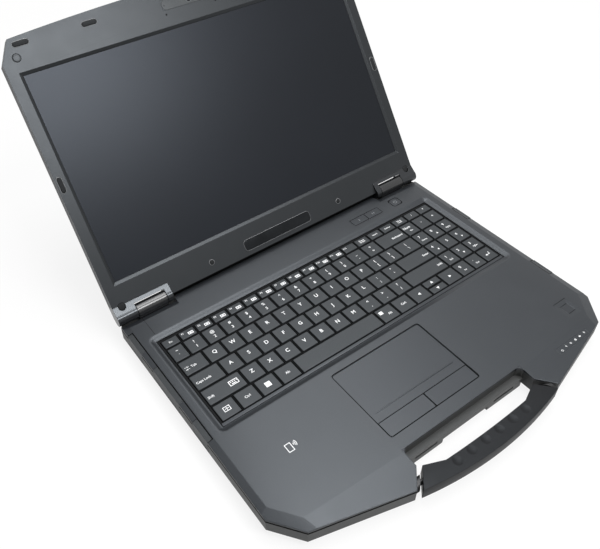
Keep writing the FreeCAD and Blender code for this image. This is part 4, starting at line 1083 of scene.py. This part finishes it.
statusMarks = [
    # place and outlines of the mark beside each status light
    ((110.8, -123.2), arc(1.1, 0.4, 0, 360, 14)),
    ((117.3, -122.1), [rectangle(-0.25, -1.3, 0.25, 1.3), rectangle(-1.2, -0.2, 1.2, 0.2)]),
    ((123.5, -122.1), arc(1.0, 0.4, 30, 330, 12) + [rectangle(-0.2, -0.2, 1.2, 0.2)]),
    ((129.9, -122.0), hollowBox(2.4, 2.2, 0.4) + [rectangle(-0.4, -0.4, 0.4, 0.4)]),
    ((136.2, -121.7), hollowBox(2.6, 1.8, 0.4) + [rectangle(-0.8, -0.5, 0.8, 0.1)]),
    (
        (142.8, -121.2),
        arc(0.7, 0.4, 0, 360, 10) + [rectangle(-0.2, -1.5, 0.2, -0.8), rectangle(-0.2, 0.8, 0.2, 1.5)],
    ),
]
statusScale = 0.8


def ledMarks():
    level = deckBits["lightsTop"] + deckBits["lift"]
    parts = []
    for (x, y), outlines in statusMarks:
        small = [[(px * statusScale, py * statusScale) for px, py in outline] for outline in outlines]
        parts.append((small, x, y, level))
    flatMark("status_marks", "base", "whiteInk", parts)


dish = {
    # keyboard recess: outer and inner outline, corner radii, top and foot levels
    "outer": (-172.6, -19.4, 172.6, 103.4),
    "inner": (-166.4, -13.2, 166.4, 97.2),
    "radius": 7.0,
    "footRadius": 0.8,
    "top": 24.2,
    "foot": 22.0,
    "steps": 10,
    "cornerSteps": 8,
    "wallTilt": (0.90, 0.97),  # upward share of the normals of the plain walls
}


def squared(x0, y0, x1, y1, reach):
    # the same count of points as a rounded outline, laid along sharp corners
    steps = dish["cornerSteps"]
    way = (0, -1)
    points = []
    for cx, cy in rectangle(x1, y1, x0, y0):
        for step in range(steps + 1):
            share = 2 * step / steps - 1
            dx, dy = way if share < 0 else (way[1], -way[0])
            points.append((cx + dx * reach * abs(share), cy + dy * reach * abs(share)))
        way = (-way[1], way[0])
    return points


def dishWall(face):
    x0, y0, x1, y1 = dish["outer"]
    low, high = dish["wallTilt"]
    middle = face.calc_center_median() / mm
    return low < face.normal.z < high and x0 < middle.x < x1 and y0 < middle.y < y1


def dishedDeck():
    # the deck's own solid with the recess walls drawn as one soft dished slope
    shape = cleanCopy("top_cover")
    shape.normal_update()
    bmesh.ops.delete(shape, geom=[face for face in shape.faces if dishWall(face)], context="FACES")
    x0, y0, x1, y1 = dish["outer"]
    fall = dish["top"] - dish["foot"]
    width = dish["inner"][0] - x0
    rings = [atLevel(squared(*dish["outer"], dish["radius"]), dish["top"])]
    for step in range(dish["steps"] + 1):
        share = step / dish["steps"]
        inset = width * share
        radius = dish["radius"] - (dish["radius"] - dish["footRadius"]) * share
        outline = roundRect(x0 + inset, y0 + inset, x1 - inset, y1 - inset, radius, dish["cornerSteps"])
        rings.append(atLevel(outline, dish["top"] - fall * share * share * (3 - 2 * share)))
    rings.append(atLevel(squared(*dish["inner"], dish["footRadius"]), dish["foot"]))
    before = set(shape.faces)
    loft(shape, rings, False)
    slope = [face for face in shape.faces if face not in before]
    for face in slope:
        face.smooth = True
        face.normal_update()
    bmesh.ops.reverse_faces(shape, faces=[face for face in slope if face.normal.z < 0])
    mesh = asMesh("top_cover_dished", shape)
    asPiece("top_cover_dished", mesh, "base", lookFor("top_cover"), ("top_cover",))


nook = {
    # rounded inner corners of the handle recess
    "corner": (67.7, -112.5),
    "radius": 5.0,
    "steps": 8,
    "foot": 13.9,
    "seam": 21.0,
    "slopeFrom": -111.0,  # the deck falls towards its front edge from here
    "slope": 0.0847,
}


def frontLevel(y):
    return deckBits["top"] - nook["slope"] * max(0, nook["slopeFrom"] - y)


def recessNooks():
    deck = bmesh.new()
    case = bmesh.new()
    cx, cy = nook["corner"]
    radius = nook["radius"]
    for side in (-1, 1):
        outline = [(side * cx, cy)]
        for c, s in sweep(0, 90, nook["steps"]):
            outline.append((side * (cx - radius + radius * c), cy - radius + radius * s))
        seam = atLevel(outline, nook["seam"])
        loft(deck, [seam, [(x, y, frontLevel(y)) for x, y in outline]])
        loft(case, [atLevel(outline, nook["foot"]), seam])
    finishShape("recess_nooks_deck", deck, "base", "deckPlastic")
    finishShape("recess_nooks_case", case, "base", "casePlastic")


seamRibbon = {"from": 19.1, "to": 20.95, "lift": 0.06, "near": 0.3, "steep": 0.2}


def onOutline(x, y, outline):
    for (ax, ay), (bx, by) in zip(outline, outline[1:] + outline[:1]):
        length = math.hypot(bx - ax, by - ay)
        if abs((bx - ax) * (y - ay) - (by - ay) * (x - ax)) / length < seamRibbon["near"]:
            return True
    return False


def caseSeam():
    # the shadow line where the deck meets the lower case
    shape = cleanCopy("bottom_case")
    for level, below in ((seamRibbon["from"], True), (seamRibbon["to"], False)):
        everything = [*shape.verts, *shape.edges, *shape.faces]
        bmesh.ops.bisect_plane(
            shape, geom=everything, plane_co=(0, 0, level * mm), plane_no=(0, 0, 1),
            clear_inner=below, clear_outer=not below,
        )
    shape.normal_update()
    points = sorted({(round(vert.co.x / mm, 2), round(vert.co.y / mm, 2)) for vert in shape.verts})
    outline = [points[i] for i in convex_hull_2d(points)]
    hidden = []
    for face in shape.faces:
        middle = face.calc_center_median() / mm
        if abs(face.normal.z) > seamRibbon["steep"] or not onOutline(middle.x, middle.y, outline):
            hidden.append(face)
    bmesh.ops.delete(shape, geom=hidden, context="FACES")
    bmesh.ops.split_edges(shape, edges=list(shape.edges))
    for face in shape.faces:
        for vert in face.verts:
            vert.co += face.normal * seamRibbon["lift"] * mm
    print("case seam: %d faces" % len(shape.faces))
    asPiece("case_seam", asMesh("case_seam", shape), "base", looks["blackGap"])


frontStrip = {
    "half": 165.6, "from": -12.4, "clear": 0.8, "low": 20.8, "high": 21.6, "radius": 0.3, "edge": 0.15,
}


def keyboardFrontStrip():
    # the plain edge of the keyboard in front of its lowest keys
    front = min(cap[1] for cap in keyBoxes("keys_modifiers")) - frontStrip["clear"]
    half = frontStrip["half"]
    shape = bmesh.new()
    outline = roundRect(-half, frontStrip["from"], half, front, frontStrip["radius"])
    domed(shape, outline, frontStrip["low"], frontStrip["high"], frontStrip["edge"])
    finishShape("keyboard_front_strip", shape, "base", "buttonPlastic")


keyboardFrontStrip()
dishedDeck()
caseSeam()
recessNooks()
deckMarks()
touchpadRidge()
gapLines()
ledMarks()
print("deck marks done")


# repeated small pieces by geometry nodes
def nodeTree(name, sizes):
    tree = bpy.data.node_groups.new(name, "GeometryNodeTree")
    tree.interface.new_socket("Geometry", in_out="INPUT", socket_type="NodeSocketGeometry")
    for label, value in sizes.items():
        socket = tree.interface.new_socket(label, in_out="INPUT", socket_type="NodeSocketFloat")
        socket.default_value = value * mm
    tree.interface.new_socket("Geometry", in_out="OUTPUT", socket_type="NodeSocketGeometry")
    return tree, tree.nodes.new("NodeGroupInput").outputs, tree.nodes.new("NodeGroupOutput").inputs


def growOn(name, tree, points, sizes, look, angle, replaces=()):
    # runs the tree on a cloud of points on the base and keeps the result as a plain mesh
    cloud = bpy.data.meshes.new(name + "_points")
    cloud.from_pydata([(x * mm, y * mm, z * mm) for x, y, z in points], [], [])
    holder = addObject(name + "_holder", cloud)
    modifier = holder.modifiers.new("grow", "NODES")
    modifier.node_group = tree
    for label, value in sizes.items():
        socket = next(item.identifier for item in tree.interface.items_tree if item.name == label)
        modifier[socket] = value * mm
    bpy.context.view_layer.update()
    mesh = bpy.data.meshes.new_from_object(holder.evaluated_get(bpy.context.evaluated_depsgraph_get()))
    holder.modifiers.remove(modifier)
    bpy.data.objects.remove(holder)
    smoothByAngle(mesh, angle)
    asPiece(name, mesh, "base", looks[look], replaces)


def scatter(tree, start, end, shape, look):
    place = addNode(tree, "GeometryNodeInstanceOnPoints", {"Points": start["Geometry"], "Instance": shape})
    real = addNode(tree, "GeometryNodeRealizeInstances", {"Geometry": place.outputs["Instances"]})
    coat = {"Geometry": real.outputs["Geometry"], "Material": looks[look]}
    feed(tree, end["Geometry"], addNode(tree, "GeometryNodeSetMaterial", coat).outputs["Geometry"])


def cylinder(tree, sides, radius, depth):
    size = {"Vertices": sides, "Radius": radius, "Depth": depth}
    return addNode(tree, "GeometryNodeMeshCylinder", size)


def raised(tree, mesh, height):
    inputs = {"Geometry": mesh.outputs["Mesh"], "Translation": (0, 0, height * mm)}
    return addNode(tree, "GeometryNodeTransform", inputs).outputs[0]


screw = {
    "head": 2.25, "rim": 1.2, "shank": 1.15, "length": 10.0,
    "slot": 2.9, "slotWidth": 0.6, "slotDepth": 0.7,
}


def screwTree():
    # countersunk-cross screw standing head down, at each point
    tree, start, end = nodeTree("crossScrew", screw)
    head, shank = (
        cylinder(tree, sides, start[radius], start[depth])
        for sides, radius, depth in ((28, "head", "rim"), (14, "shank", "length"))
    )
    carve = addNode(tree, "GeometryNodeMeshBoolean", {"Mesh 1": head.outputs["Mesh"]}, operation="DIFFERENCE")
    for wide, deep in (("slot", "slotWidth"), ("slotWidth", "slot")):
        sides = {"X": start[wide], "Y": start[deep], "Z": start["slotDepth"]}
        size = addNode(tree, "ShaderNodeCombineXYZ", sides).outputs[0]
        block = addNode(tree, "GeometryNodeMeshCube", {"Size": size})
        feed(tree, carve.inputs["Mesh 2"], raised(tree, block, -screw["rim"] / 2))
    whole = tree.nodes.new("GeometryNodeJoinGeometry")
    for mesh, height in ((carve, screw["rim"] / 2), (shank, screw["rim"] + screw["length"] / 2)):
        feed(tree, whole.inputs[0], raised(tree, mesh, height))
    scatter(tree, start, end, whole.outputs[0], "brushedSteel")
    return tree


foot = {"radius": 2.4, "edge": 0.4, "ribs": 9, "ribHeight": 0.5, "ribMargin": 2}
rib = {"width": 1.6, "length": 12.4}


def ribTree():
    # one low rib across a foot, at each point
    tree, start, end = nodeTree("footRib", rib)
    bar = cylinder(tree, 12, mathNode(tree, "MULTIPLY", start["width"], 0.5), start["length"])
    lying = {"Geometry": bar.outputs["Mesh"], "Rotation": (math.pi / 2, 0, 0)}
    scatter(tree, start, end, addNode(tree, "GeometryNodeTransform", lying).outputs[0], "padRubber")
    return tree


def crossScrews():
    points = [((x0 + x1) / 2, (y0 + y1) / 2, z0) for x0, y0, z0, x1, y1, z1 in islands("base_screws")]
    growOn(
        "base_screws_cross", screwTree(), points, screw, "brushedSteel",
        angles["screws"], ("base_screws",),
    )


def ribbedFeet():
    # the pads are drawn upside down and flipped
    pads = bmesh.new()
    points = []
    margin = foot["ribMargin"]
    for x0, y0, z0, x1, y1, z1 in islands("feet"):
        domed(pads, roundRect(x0, y0, x1, y1, foot["radius"]), -z1, -z0 - foot["ribHeight"], foot["edge"])
        step = (x1 - x0 - 2 * margin) / (foot["ribs"] - 1)
        points += [(x0 + margin + n * step, (y0 + y1) / 2, rib["width"] / 2) for n in range(foot["ribs"])]
    flip = Matrix.Scale(-1, 4, (0, 0, 1))
    finishShape("feet_pads", pads, "base", "padRubber", flip, ("feet",))
    growOn("feet_ribs", ribTree(), points, rib, "padRubber", angles["ribs"])


crossScrews()
ribbedFeet()
print("screws and feet done")


# webcam: window line, lens, light and the holes of the microphones
eye = {
    "window": (-28.2, 244.3, 28.2, 253.4, 4.3),  # outline, corner radius
    "windowLift": 0.03,
    "line": 0.28,
    "lineHeight": 0.05,
    "sunk": 0.1,
    # x, y, radius
    "dots": [(-26.0, 248.6, 0.5), (26.0, 248.6, 0.5), (-27.0, 240.3, 0.78), (27.0, 240.3, 0.78)],
    "lens": (0.0, 248.85, 2.6),
    "light": (9.0, 248.85, 0.7),
    "lensRing": (0.6, 0.15),  # width, height
    # stand above the face, rounding and crown
    "dotTop": (0.05, 0.01, 0),
    "lensTop": (0.08, 0.05, 0.12),
    "lightTop": (0.06, 0.04, 0),
}


def webcamEye():
    face = lidBits["face"]

    def stud(shape, outline, top):
        stand, edge, rise = eye[top]
        domed(shape, outline, face - eye["sunk"], face + stand, edge, rise)

    lines, ring, glass, lamp = (bmesh.new() for _ in range(4))
    outline = roundRect(*eye["window"], 8)
    window = [([outline], 0, 0, face + eye["windowLift"])]
    flatMark("webcam_window", "lid", "clearWindow", window, lidTurn)
    rimRing(lines, shrink(outline, eye["line"] / 2), eye["line"], face, eye["lineHeight"])
    for dot in eye["dots"]:
        stud(lines, disc(*dot), "dotTop")
    outline = disc(*eye["lens"], 8)
    addRim(ring, outline, eye["lensRing"], face)
    stud(glass, outline, "lensTop")
    stud(lamp, disc(*eye["light"]), "lightTop")
    onLid("webcam_lines", lines, "blackGap")
    onLid("webcam_ring", ring, "bezelLip")
    onLid("webcam_lens", glass, "darkWindow")
    onLid("webcam_light", lamp, "greyInk")


webcamEye()
print("webcam done")
